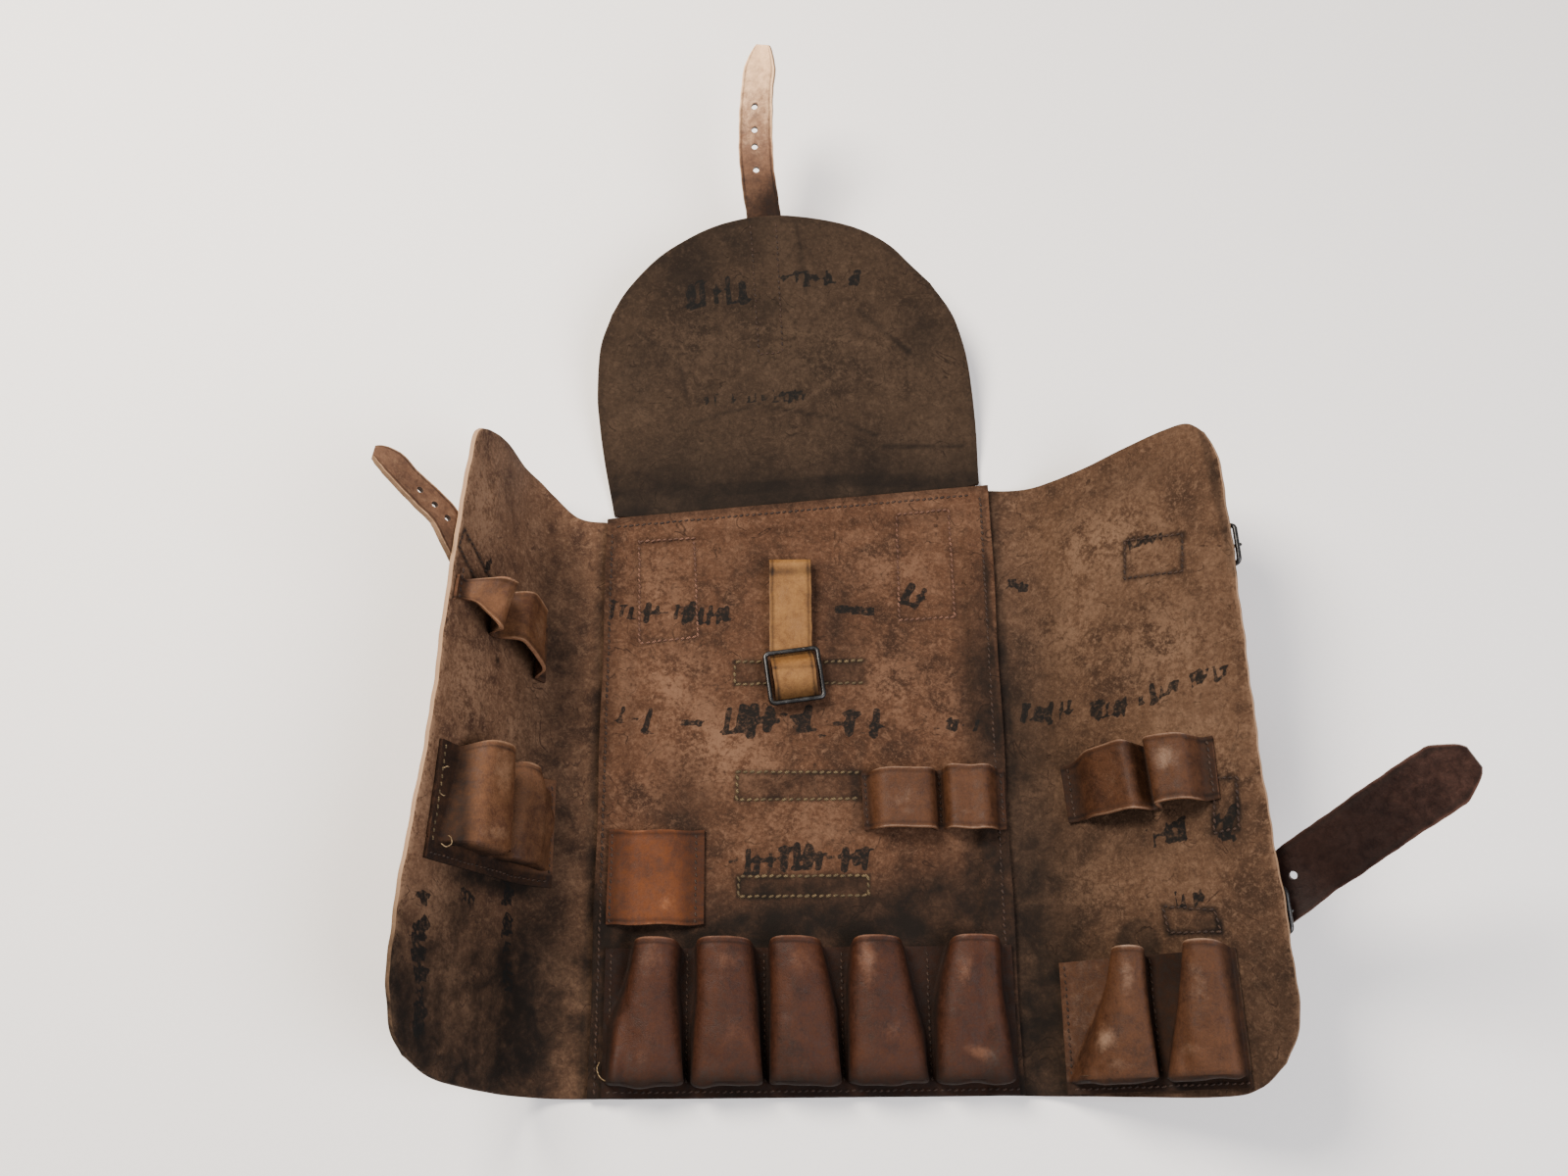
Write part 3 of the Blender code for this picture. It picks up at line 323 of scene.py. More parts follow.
# %% The smooth grain side
def grain_leather(name, dark, middle, light, rough=(0.46, 0.72), bump=0.55, scuff="#6b5443"):
    """Vegetable-tanned hide seen from its grain side: fine pores, a waxy sheen and pale scuffs."""
    material, tree, coords = start_material(name, Specular_IOR_Level=0.17)
    # Tools slid in and out along the piece, leaving fine streaks; the pale ones are partly painted sheen.
    pulled = add(tree, "Mapping", {"Vector": coords, "Scale": (1.0, 8.0, 3.0)}, vector_type="TEXTURE")
    big, mid, fine, streak, rubbed = [
        add(tree, "TexNoise", {"Vector": vector, "Scale": per_mm(size), "Detail": detail, "Roughness": grain,
                               "Distortion": bend})
        for vector, size, detail, grain, bend in (
            (coords, 30.0, 4.0, 0.6, 0.6), (coords, 5.0, 6.0, 0.72, 0.4), (coords, 1.3, 3.0, 0.7, 0.0),
            (pulled, 1.6, 5.0, 0.7, 0.3), (coords, 7.0, 8.0, 0.8, 0.25))]
    # Real pores are finer than the picture can show, so they are drawn a millimetre apart.
    pores = add(tree, "TexVoronoi", {"Vector": coords, "Scale": per_mm(1.0)}, feature="DISTANCE_TO_EDGE")
    mottle = weigh(tree, (big, 0.5), (mid, 0.5))
    worn, grime_and_shade = [add(tree, "Attribute", out="Fac", attribute_name=layer) for layer in ("worn", "grime_and_shade")]
    colour = dark
    for pattern, low, high, strength, tint in (
            (mottle, 0.36, 0.54, 1.0, middle), (mottle, 0.5, 0.7, 0.7, light), (fine, 0.5, 0.3, 0.45, dark),
            (fine, 0.52, 0.72, 0.35, light), (streak, 0.53, 0.66, 0.14, light), (streak, 0.46, 0.34, 0.16, dark)):
        colour = stain(tree, colour, pattern, low, high, strength, tint)
    # Fully painted wear covers the leather, half painted wear shows only where the noise is high.
    worn = weigh(tree, (worn, 1.0), (rubbed, 1.0))
    worn = add(tree, "MapRange", {"Value": worn, "From Min": 0.6, "From Max": 1.35}, **SOFT_ENDS)
    colour = add(tree, "Mix", {0: worn, 6: colour, 7: scuff}, MIXED, **COLOURS)
    # Grime darkens the colour here, and so does shade painted into the same layer.
    dirt_and_shade = add(tree, "MapRange", {"Value": mottle, "From Min": 0.7, "From Max": 0.35, "To Min": 0.7},
                 **SOFT_ENDS)
    grime_and_shade = add(tree, "Math", {0: grime_and_shade, 1: dirt_and_shade}, operation="MULTIPLY")
    colour = add(tree, "Mix", {0: grime_and_shade, 6: colour, 7: GRAIN_DIRT_AND_SHADE}, MIXED, **COLOURS)
    gloss = add(tree, "MapRange", {"Value": mid, "From Min": 0.3, "From Max": 0.7, "To Min": rough[0],
                                   "To Max": rough[1]}, **SOFT_ENDS)
    gloss = weigh(tree, (gloss, 1.0), (worn, -0.22), (grime_and_shade, 0.3))
    height = weigh(tree, (pores, 0.4), (mid, 1.1), (fine, 0.25), (worn, 0.15))
    end_material(tree, bump, 0.6, height, Base_Color=colour, Roughness=gloss)
    return material


# %% Cut edges
def cut_edge(name, dark, middle, light, rough):
    """The cut edge of thick leather: packed fibres in short streaks, raw or rubbed dark with wax."""
    material = grain_leather(name, dark, middle, light, rough, 0.6, light)
    tree = material.node_tree
    coords = next(node for node in tree.nodes if node.type == "TEX_COORD").outputs["Object"]
    squeezed = add(tree, "Mapping", {"Vector": coords, "Scale": (1.0, 1.0, 3.0)})
    for node in tree.nodes:
        if node.type == "TEX_NOISE":
            tree.links.new(squeezed, node.inputs["Vector"])
    return material


# %% The leathers of this roll
PANEL_FLESH = flesh_leather("oiled_flesh_side_hide", "#2a1b12", "#472f20", "#6a4f3c", drag=1.1)
# The wings are one hide, the left painted lighter and the right darker: partly their own tone,
# partly painted light and shade, as the left wing faces the light.
SHADE_PAINTED_WING_FLESH = flesh_leather("shade_painted_rough_flesh_side_hide", "#302117", "#4b3627", "#6d5542", 46.0, 0.6, -0.7)
LIGHT_PAINTED_LEFT_WING_FLESH = flesh_leather("pale_light_painted_flesh_side_hide", "#3d2a20", "#5e4432", "#876951", 46.0, 0.6, 0.6)
# The flap's hide is darker partly by its own tone and partly as painted shade, as it tilts from the light.
SHADE_PAINTED_FLAP_FLESH = flesh_leather("dark_shade_painted_flesh_side_hide", "#201710", "#30241a", "#46372a", 70.0, 0.4, 0.5)
OUTSIDE_GRAIN = grain_leather("tan_grain_side_hide", "#4a2c1a", "#6a4127", "#825433", scuff="#93694a")
POCKET_GRAIN = grain_leather("red_brown_pocket_leather", "#25140c", "#351c10", "#452716", scuff="#6b4935")
WING_POCKET_GRAIN = grain_leather("brown_pocket_leather", "#2e1b10", "#422817", "#533521", scuff="#7d6553")
LEFT_POCKET_GRAIN = grain_leather("light_brown_pocket_leather", "#3d2518", "#543722", "#6a472f",
                                  scuff="#8c6c52")
PATCH_GRAIN = grain_leather("orange_tan_patch_leather", "#41220f", "#572f15", "#67391a", scuff="#a87350")
TAB_HIDE = grain_leather("yellow_tan_split_leather", "#5c3d1e", "#74512b", "#876438", (0.45, 0.65), 0.4,
                         "#6b4c2e")
STRAP_HIDE = grain_leather("worn_strap_leather", "#4d3426", "#6c4d39", "#87664e", (0.5, 0.7), 0.4, "#f6c899")
DARK_STRAP_HIDE = grain_leather("dark_waxed_strap_leather", "#150b09", "#1f120e", "#2c1b15", (0.36, 0.5), 0.3,
                                "#4f3830")
RAW_EDGE = cut_edge("raw_cut_leather_edge", "#5c4330", "#7c5f47", "#97795d", (0.8, 0.95))
CUT_EDGE = cut_edge("brown_cut_leather_edge", "#4b3021", "#6d4a35", "#8a644a", (0.7, 0.9))
DARK_EDGE = cut_edge("burnished_leather_edge", "#241912", "#382a20", "#513f31", (0.45, 0.65))
print("leathers", len([m for m in bpy.data.materials if "leather" in m.name or "hide" in m.name]))

# %% [markdown]
# ## Metal and thread
#
# The wire slide and the buckles are steel wire with a black baked lacquer. Lacquer is a plain dark skin
# over metal, so it is not shaded as bare metal. Where it is chipped, a mask swaps in grey steel. The
# thread is waxed linen: a dull brown cord with two plies that wind round each other.

# %% Black lacquered wire and waxed linen
def lacquered_wire():
    """Steel wire under black baked lacquer: half gloss, with a few grey chips."""
    material, tree, coords = start_material("black_lacquered_steel_wire")
    patches, chips = [
        add(tree, "TexNoise", {"Vector": coords, "Scale": per_mm(size), "Detail": 5.0, "Roughness": grain,
                               "Distortion": bend})
        for size, grain, bend in ((5.0, 0.65, 0.0), (2.2, 0.7, 0.5))]
    chips = add(tree, "MapRange", {"Value": chips, "From Min": 0.63, "From Max": 0.67}, **SOFT_ENDS)
    gloss = add(tree, "MapRange", {"Value": patches, "From Min": 0.3, "From Max": 0.7, "To Min": 0.26,
                                   "To Max": 0.45}, **SOFT_ENDS)
    colour = stain(tree, "#0b0b0c", patches, 0.35, 0.65, 1.0, "#18191a")
    colour = add(tree, "Mix", {0: chips, 6: colour, 7: "#5d5a55"}, MIXED, **COLOURS)
    end_material(tree, 0.25, 0.3, weigh(tree, (patches, 1.0), (chips, -0.6)), Base_Color=colour, Metallic=chips,
                 Roughness=gloss)
    return material


def waxed_thread(name, dark, light):
    """Waxed linen sewing thread: dull, with fine diagonal plies."""
    material, tree, coords = start_material(name, Roughness=0.7, Specular_IOR_Level=0.3)
    plies = add(tree, "TexWave", {"Vector": coords, "Scale": per_mm(2.4), "Distortion": 2.0, "Detail": 2.0},
                "Fac", bands_direction="DIAGONAL")
    dirt = add(tree, "TexNoise", {"Vector": coords, "Scale": per_mm(7.0), "Detail": 3.0, "Roughness": 0.55})
    colour = add(tree, "Mix", {0: plies, 6: dark, 7: light}, MIXED, **COLOURS)
    colour = stain(tree, colour, dirt, 0.6, 0.4, 0.7, dark)
    end_material(tree, 0.5, 0.2, plies, Base_Color=colour)
    return material


BLACK_WIRE = lacquered_wire()
BROWN_THREAD = waxed_thread("brown_waxed_linen", "#3a261c", "#7b5643")
OLIVE_THREAD = waxed_thread("olive_waxed_linen", "#332919", "#6c5b3e")
DARK_THREAD = waxed_thread("dark_waxed_linen", "#1b120d", "#432e21")
PALE_THREAD = waxed_thread("pale_waxed_linen", "#57462f", "#a08a68")
print("materials", len(bpy.data.materials))

# %% [markdown]
# ## One sheet of leather
#
# A leather piece is cut flat and then bent. The same is done here. A flat grid is added, each vertex is
# carried to its place on the bent surface, Solidify gives the thickness, and a small bevel rounds the cut
# edges as a slicker does. Solidify also hands out materials, so face, back and cut edge can differ.
# Values painted on the vertices say where the leather is worn, grimy or inked, and where shade is painted on it.

# %% Lay, thicken and attach a sheet
# The way that the inner face of each part looks, roughly.
UP, FLAP_FACE, LEFT_FACE, RIGHT_FACE = (0.0, 0.0, 1.0), (0.0, -0.2, 1.0), (0.9, 0.0, 0.4), (-0.5, 0.0, 0.8)
# Edges sharper than this many degrees are cut edges. The lowest leather stays a hair above the floor.
CUT_ANGLE = 58
FLOOR_LEVEL = 0.05 * MM


def lay(name, points, layers=None, facing=UP):
    """Add a flat grid, carry its vertices to the points, and turn its normals to the facing side."""
    rows, columns = points.shape[:2]
    bpy.ops.object.select_all(action="DESELECT")
    bpy.ops.mesh.primitive_grid_add(x_subdivisions=columns - 1, y_subdivisions=rows - 1, size=2)
    piece = bpy.context.active_object
    piece.name = piece.data.name = name
    flat = np.empty(len(piece.data.vertices) * 3)
    piece.data.vertices.foreach_get("co", flat)
    place = (flat.reshape(-1, 3) + 1) / 2
    column = np.rint(place[:, 0] * (columns - 1)).astype(int)
    row = np.rint(place[:, 1] * (rows - 1)).astype(int)
    piece.data.vertices.foreach_set("co", points[row, column].ravel())
    for layer, values in (layers or {}).items():
        made = piece.data.attributes.new(layer, "FLOAT", "POINT")
        values = np.broadcast_to(np.clip(values, 0, 1), (rows, columns))
        made.data.foreach_set("value", values[row, column].astype(np.float32))
    piece.data.update()
    normals = np.empty(len(piece.data.polygons) * 3)
    piece.data.polygons.foreach_get("normal", normals)
    if (normals.reshape(-1, 3) @ np.array(facing)).mean() < 0:
        piece.data.flip_normals()
    return piece


def pick(piece):
    """Select this piece and nothing else, because an operator works on all that is selected."""
    bpy.ops.object.select_all(action="DESELECT")
    piece.select_set(True)
    bpy.context.view_layer.objects.active = piece


def use(piece, kind, **settings):
    """Apply one modifier of this kind with these settings to the piece."""
    pick(piece)
    modifier = piece.modifiers.new(kind.lower(), kind)
    for name, value in settings.items():
        setattr(modifier, name, value)
    bpy.ops.object.modifier_apply(modifier=modifier.name)


def smooth(piece, degrees=42.0):
    pick(piece)
    bpy.ops.object.shade_smooth_by_angle(angle=math.radians(degrees))


def shell(piece, thick, materials, rim, offset):
    """Solidify a sheet and round its cut edges; the materials are for its face, its back and its edge."""
    for material in materials:
        piece.data.materials.append(material)
    use(piece, "SOLIDIFY", thickness=thick * MM, offset=offset, use_quality_normals=True, material_offset=1,
        material_offset_rim=2)
    use(piece, "BEVEL", width=rim * MM, segments=2, limit_method="ANGLE", angle_limit=math.radians(CUT_ANGLE))


def thicken(piece, thick, face, back, edge, rim=0.45):
    """Give a sheet its thickness away from its face."""
    shell(piece, thick, (face, back, edge), rim, -1.0)
    smooth(piece)
    return piece


def rest_on_floor(piece):
    """Leather that lies on the floor is pressed flat there, so nothing reaches below it."""
    low = [vertex for vertex in piece.data.vertices if vertex.co.z < FLOOR_LEVEL]
    for vertex in low:
        vertex.co.z = FLOOR_LEVEL
    print(piece.name, "has", len(low), "points pressed flat")


def belongs(piece, nodes):
    """Say which solids the piece stands for, hide them, and hang the piece under the root."""
    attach(piece, "root")
    if nodes:
        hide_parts(*nodes)
    print(piece.name, len(piece.data.polygons), "faces,", "stands for", nodes or "nothing")
    return piece


# %% Painting helpers
def spot(a, b, middle, radii, turn=0.0):
    """A soft oval spot: 1 in its middle, 0 beyond its radii."""
    c, s = math.cos(math.radians(turn)), math.sin(math.radians(turn))
    x, y = a - middle[0], b - middle[1]
    return 1 - ease(0.0, 1.0, np.hypot((x * c + y * s) / radii[0], (y * c - x * s) / radii[1]))


def line(a, b, path, width):
    """1 on a line through the points, falling softly to 0 at width beside it."""
    best = np.full(np.shape(a), 1e9)
    for (x0, y0), (x1, y1) in zip(path, path[1:]):
        dx, dy = x1 - x0, y1 - y0
        t = np.clip(((a - x0) * dx + (b - y0) * dy) / (dx * dx + dy * dy), 0, 1)
        best = np.minimum(best, np.hypot(a - x0 - t * dx, b - y0 - t * dy))
    return 1 - ease(0.25 * width, width, best)


def smudged_row(a, b, start, end, tall, seed):
    """Worn strokes of ink in a row: a stamp stood here once, and nothing of it can be read."""
    chance = random.Random(seed)
    length = math.dist(start, end)
    ahead = (np.array(end) - start) / length
    upward = np.array([-ahead[1], ahead[0]])
    count = max(round(length / (0.42 * tall)), 1)
    parts = []
    for k in range(count):
        t = (k + 0.5 + chance.uniform(-0.2, 0.2)) / count
        foot = lerp(np.array(start), np.array(end), t)
        low, high = -tall * chance.uniform(0.2, 0.5), tall * chance.uniform(0.1, 0.5)
        strength, width = chance.choice([0.4, 0.8, 1.0, 1.0]), max(tall * chance.uniform(0.17, 0.34), 2.2)
        stroke = [foot + low * upward, foot + high * upward + 0.08 * tall * ahead]
        parts.append(strength * line(a, b, stroke, width))
        middle = foot + chance.choice([low, high, 0.0]) * upward
        stroke = [middle - 0.12 * tall * ahead, middle + 0.3 * tall * ahead]
        parts.append(0.9 * strength * line(a, b, stroke, 0.5 * width))
    return total(*parts)


def spots(a, b, *rows):
    """One soft spot for each row of strength, middle, radii and, where it is turned, its angle."""
    return [strength * spot(a, b, *place) for strength, *place in rows]


def lines(a, b, *rows):
    """One soft line for each row of strength, points and width."""
    return [strength * line(a, b, *place) for strength, *place in rows]


def smudges(a, b, *rows):
    """Rows of old ink, each from its start, end, height and seed."""
    return total(*[smudged_row(a, b, *row) for row in rows])


def total(*parts):
    """Add painted parts and keep the sum within 0 and 1."""
    return np.clip(sum(parts), 0.0, 1.0)


def table(rows, columns):
    """Evenly spread u and v in 0..1 for a grid of rows by columns points."""
    return np.meshgrid(np.linspace(0, 1, columns), np.linspace(0, 1, rows))


# %% [markdown]
# ## Centre panel
#
# The back of the roll is one thick piece of hide. Its margins step up over the wings and the flap, where
# they are sewn together. Its face is the flesh side: blotched, scratched by tools and darkest where hands
# and oil never left it. The old stamps on it are shown as worn ink smudges with no letters. The shadow of
# the tab and its slide is painted on it.

# %% Seams that show on the panel
# Box seams run round the places where straps are sewn on behind. Double rows hold webbing behind the panel.
PANEL_BOXES = [[(-103.9, 158.7), (-68.3, 161.1), (-65, 93.8), (-102.2, 89.6), (-103.9, 158.7)],
               [(64, 175.8), (98, 178.9), (99.1, 105.5), (63.4, 103.8), (64, 175.8)]]
PANEL_STRIPS = [[(-41.5, 77), (-21, 76.6)], [(-41.5, 62), (-21.5, 62)], [(14, 76), (41.5, 77)],
                [(14, 62), (41.5, 62)], [(-41.5, 62), (-41.5, 77)], [(36, 4.5), (-40, 5.5), (-40, -12), (36, -12)],
                [(39, -59), (-39, -59), (-39, -71), (39, -71), (39, -59)]]


def inside(a, b, low, high):
    """1 within an upright box from low to high, fading over a soft border."""
    soft = 2.0
    return (ease(low[0] - soft, low[0] + soft, a) * (1 - ease(high[0] - soft, high[0] + soft, a))
            * ease(low[1] - soft, low[1] + soft, b) * (1 - ease(high[1] - soft, high[1] + soft, b)))


# %% Centre panel
u, v = table(248, 168)
px = lerp(-PANEL_HALF, PANEL_HALF, u)
py = lerp(PANEL_LOW, panel_top(px), v)
px = px + 0.35 * np.sin(py / 17.0) * np.sign(px) * ease(120, 125, np.abs(px))
panel_ink = smudges(
    px, py, ((-122, 112), (-44, 108), 13, 1), ((20, 112), (48, 110), 5, 2), ((66, 124), (80, 118), 19, 3),
    ((-116, 42), (-92, 38), 17, 4), ((-76, 38), (-62, 37), 5, 5), ((-52, 40), (60, 33), 20, 6),
    ((-60, -50), (42, -47), 17, 7), ((84, 36), (110, 32), 8, 8))
# The spot right of the tab and the spot below its slide are their painted shadow.
panel_grime_and_shade = total(
    ease(-46, -98, py), 0.65 * line(px, py, [(112, 190), (112, -186)], 20) * ease(190, 60, py),
    0.5 * ease(100, 122, px) * ease(150, 20, py), 0.42 * inside(px, py, (-41, -12), (36, 5)),
    0.45 * inside(px, py, (-39, -71), (39, -59)), 0.4 * inside(px, py, (-41, 62), (-21, 77)),
    0.4 * inside(px, py, (14, 62), (41, 77)), 0.4 * inside(px, py, (30, -34), (41, 7)),
    *[0.5 * line(px, py, path, 2.6) for path in PANEL_STRIPS],
    *[0.35 * line(px, py, path, 2.4) for path in PANEL_BOXES],
    *spots(px, py, (0.6, (92, -66), (58, 50)), (0.45, (30, -74), (80, 24)), (0.5, (24, 96), (24, 60), 8),
                   (0.25, (-30, 140), (40, 30)), (0.5, (-70, -20), (30, 60)), (0.35, (-34, -96), (60, 24)),
                   (0.4, (2, 44), (34, 16))),
    *lines(px, py, (0.35, [(-125, 170), (-125, -186)], 12),
                   (0.5, [(-125, PANEL_TOP[0] - 1), (125, PANEL_TOP[1] - 1)], 5),
                   (0.6, [(120.5, 190), (119.5, -186)], 3)))
panel_worn = total(
    *spots(px, py, (0.7, (-84, 62), (44, 36), 20), (0.85, (-50, 20), (60, 38), -15), (0.5, (56, 60), (40, 44)),
                   (0.45, (60, 140), (50, 30)), (0.4, (-6, -24), (56, 26), 10), (0.45, (-92, 126), (34, 50)),
                   (0.4, (94, 40), (16, 40)), (0.4, (-96, -6), (20, 20))))
panel = lay("centre_panel_leather", on_panel(px, py, 0.0),
            {"ink": panel_ink, "grime_and_shade": panel_grime_and_shade, "worn": panel_worn})
thicken(panel, BODY_THICK, PANEL_FLESH, OUTSIDE_GRAIN, DARK_EDGE)
rest_on_floor(panel)
belongs(panel, ["centre_panel"])

# %% [markdown]
# ## The wings
#
# Each wing bends up beside its seam and then stands nearly flat. Its outline is drawn on the flat leather
# as four edge curves, the area between them is filled with a grid, and the grid is rolled up. A small
# wobble in the outline gives the cut edge its hand-made look.

# %% Fill an outline
def edge_curve(points):
    """A smooth curve as a function of 0..1."""
    spread = soft_curve(points, 400)
    stops = np.linspace(0, 1, 400)
    return lambda t: np.stack([np.interp(t, stops, spread[:, k]) for k in range(2)], axis=-1)


def fill(lower, upper, left, right, u, v):
    """Spread u and v over the area between four edge curves."""
    low, top, lef, rig = (edge_curve(points) for points in (lower, upper, left, right))
    a, b = u[..., None], v[..., None]
    ruled = (1 - b) * low(u) + b * top(u) + (1 - a) * lef(v) + a * rig(v)
    corners = ((1 - a) * (1 - b) * low(0.0) + a * (1 - b) * low(1.0) + (1 - a) * b * top(0.0)
               + a * b * top(1.0))
    flat = ruled - corners
    return flat[..., 0], flat[..., 1]


# %% Seams that show on the wings
# Small boxes of stitches hold what is sewn on behind: chapes, a strap and a loop.
LEFT_BOXES = [[(90, 102), (142, 124), (146, 112), (96, 88), (90, 102)]]
RIGHT_BOXES = [[(92.5, 137), (131, 131), (128, 108), (90, 113), (92.5, 137)],
               [(92, -86), (122, -91), (124, -103), (94, -101), (92, -86)],
               [(132, -18), (145, -20), (142.5, -48), (128, -49), (132, -18)]]

# %% Left wing
LEFT_LOWER = [(-14, -185.7), (22, -185.5), (84, -182), (118, -178), (142, -168)]
LEFT_OUTER = [(142, -168), (153, -156), (158, -132), (157.5, -107), (154.5, -55), (150.5, 0), (150, 60),
              (148, 120), (146.5, 165), (145, 183), (138, 190)]
LEFT_TOP = [(-14, 172.4), (0, 173.2), (19, 176), (37, 188.7), (54, 196.6), (97, 199.7), (124, 195), (138, 190)]
u, v = table(188, 84)
ls, ly = fill(LEFT_LOWER, LEFT_TOP, [(-14, -185.7), (-14, 0), (-14, 172.4)], LEFT_OUTER, u, v)
ls = ls + (0.35 * np.sin(ly / 7.3) + 0.25 * np.sin(ly / 3.1 + 1)) * ease(0.97, 1.0, u)
left_ink = smudges(
    ls, ly, ((92, 100), (112, 118), 13, 11), ((60, -60), (54, -128), 10, 12), ((136, -82), (132, -160), 13, 13),
    ((90, -84), (104, -76), 9, 14))
# The oval near the seam is painted shade in the bend; two spots below the pockets are painted shadow.
left_grime_and_shade = total(
    ease(-56, -130, ly) * lerp(0.65, 1.0, ease(10, 50, ls)),
    *[0.75 * line(ls, ly, path, 2.6) for path in LEFT_BOXES],
    *spots(ls, ly, (0.75, (30, -20), (60, 200)), (0.5, (30, 110), (46, 90)), (0.95, (84, -66), (70, 15)),
                   (0.5, (106, -84), (44, 26)), (0.5, (74, -30), (16, 40)), (0.5, (90, 80), (52, 16))),
    *lines(ls, ly, (0.5, [(104, 106), (90, 112), (86, 100)], 2.4), (0.9, [(87, 60.5), (87, 61.5)], 3.2),
                   (0.9, [(136, 119), (136, 120)], 3.2), (0.5, [(0, -186), (0, 174)], 9)))
left_worn = total(
    0.9 * ease(0.965, 0.99, u),
    *spots(ls, ly, (0.65, (122, 150), (40, 60)), (0.6, (118, 40), (36, 50)), (0.4, (116, -100), (30, 60)),
                   (0.4, (60, 30), (30, 40))))
left_wing = lay("left_wing_leather", on_left(ls, ly, 0.0),
                {"ink": left_ink, "grime_and_shade": left_grime_and_shade, "worn": left_worn}, LEFT_FACE)
thicken(left_wing, BODY_THICK, LIGHT_PAINTED_LEFT_WING_FLESH, OUTSIDE_GRAIN, RAW_EDGE, 0.7)
rest_on_floor(left_wing)
belongs(left_wing, ["left_wing"])

# %% Right wing
RIGHT_LOWER = [(-14, -185.7), (30, -187), (110, -190), (134, -186.5), (150, -174)]
RIGHT_OUTER = [(150, -174), (158, -160), (161, -143), (161.5, -95), (160, -20), (160, 60), (161, 130),
               (160, 172), (154, 190)]
RIGHT_TOP = [(-14, 192.5), (0, 193.5), (30, 192.5), (64.8, 193.4), (100, 197.6), (128, 199.8), (144, 198.5),
             (154, 190)]
rs, ry = fill(RIGHT_LOWER, RIGHT_TOP, [(-14, -185.7), (-14, 0), (-14, 192.5)], RIGHT_OUTER, u, v)
rs = rs + (0.35 * np.sin(ry / 8.1) + 0.2 * np.sin(ry / 2.9)) * ease(0.97, 1.0, u)
right_ink = smudges(
    rs, ry, ((12, 42), (84, 34), 13, 21), ((88, 36), (148, 44), 12, 22), ((84, -48), (112, -44), 12, 23),
    ((126, -40), (146, -48), 18, 24), ((8, 128), (24, 124), 7, 25), ((92, 134), (118, 134), 7, 26),
    ((98, -84), (124, -84), 9, 27))
# The long oval near the seam is painted shade in the bend.
right_grime_and_shade = total(
    0.6 * ease(-60, -160, ry), 0.6 * (1 - ease(0.86, 1.06, np.hypot((rs - 75) / 14, (ry + 108) / 18))),
    *[0.8 * line(rs, ry, path, 2.8) for path in RIGHT_BOXES],
    *spots(rs, ry, (0.95, (8, -40), (66, 240)), (0.45, (80, -44), (60, 26)), (0.35, (100, 176), (60, 20)),
                   (0.5, (136, -44), (22, 28)), (0.6, (118, -98), (16, 5))),
    *lines(rs, ry, (0.5, [(0, -186), (0, 193)], 9), (0.55, [(154, 190), (161, 100)], 5)))
right_worn = total(
    0.6 * ease(0.97, 0.995, u),
    *spots(rs, ry, (0.75, (80, 140), (66, 44)), (0.6, (110, 66), (50, 46)), (0.5, (46, 90), (40, 40)),
                   (0.45, (124, 0), (44, 30)), (0.4, (50, -70), (40, 30))))
right_wing = lay("right_wing_leather", on_right(rs, ry, 0.0),
                 {"ink": right_ink, "grime_and_shade": right_grime_and_shade, "worn": right_worn}, RIGHT_FACE)
thicken(right_wing, BODY_THICK, SHADE_PAINTED_WING_FLESH, OUTSIDE_GRAIN, RAW_EDGE, 0.7)
rest_on_floor(right_wing)
belongs(right_wing, ["right_wing"])

# %% [markdown]
# ## The flap
#
# The rounded flap is sewn under the panel's upper margin and rises away from the floor. Its own margin, a
# narrow tongue, runs under the panel, so the first rows of the grid are the tongue and the rest the flap.

# %% Flap
FLAP_BASE = [(-121.3, -0.6), (-60, -0.6), (0, -0.6), (60, -0.6), (119.8, -0.6)]
FLAP_LEFT = [(-121.3, -0.6), (-124.9, 35.3), (-126.2, 62), (-126, 82), (-121.5, 113), (-112, 135)]
FLAP_TOP = [(-112, 135), (-99.6, 151.4), (-79, 169.5), (-57.9, 181.1), (-38, 188.4), (-17.8, 191.9), (0, 192.2),
            (14.8, 190.8), (38, 185.6), (59.6, 177.6), (77, 166), (89.8, 151.6), (102, 138)]
FLAP_RIGHT = [(119.8, -0.6), (122.2, 39.4), (121.8, 79), (118, 104), (112.8, 119.6), (102, 138)]
TONGUE_SHARE, TONGUE_END = 107.5 / 121.3, -16.4
u, v = table(100, 126)
fu, fv = fill(FLAP_BASE, FLAP_TOP, FLAP_LEFT, FLAP_RIGHT, u, v)
tongue_u, tongue_v = table(8, 126)
tongue_u = lerp(FLAP_BASE[0][0], FLAP_BASE[-1][0], tongue_u) * TONGUE_SHARE
tongue_v = lerp(TONGUE_END, -3.4, tongue_v)
fu, fv = np.vstack([tongue_u, fu]), np.vstack([tongue_v, fv])
flap_ink = total(
    smudges(fu, fv, ((-78, 142), (-22, 146), 18, 31), ((2, 150), (56, 144), 11, 32)),
    0.8 * smudged_row(fu, fv, (-62, 72), (14, 70), 9, 33), 0.6 * smudged_row(fu, fv, (62, 58), (90, 60), 9, 34))
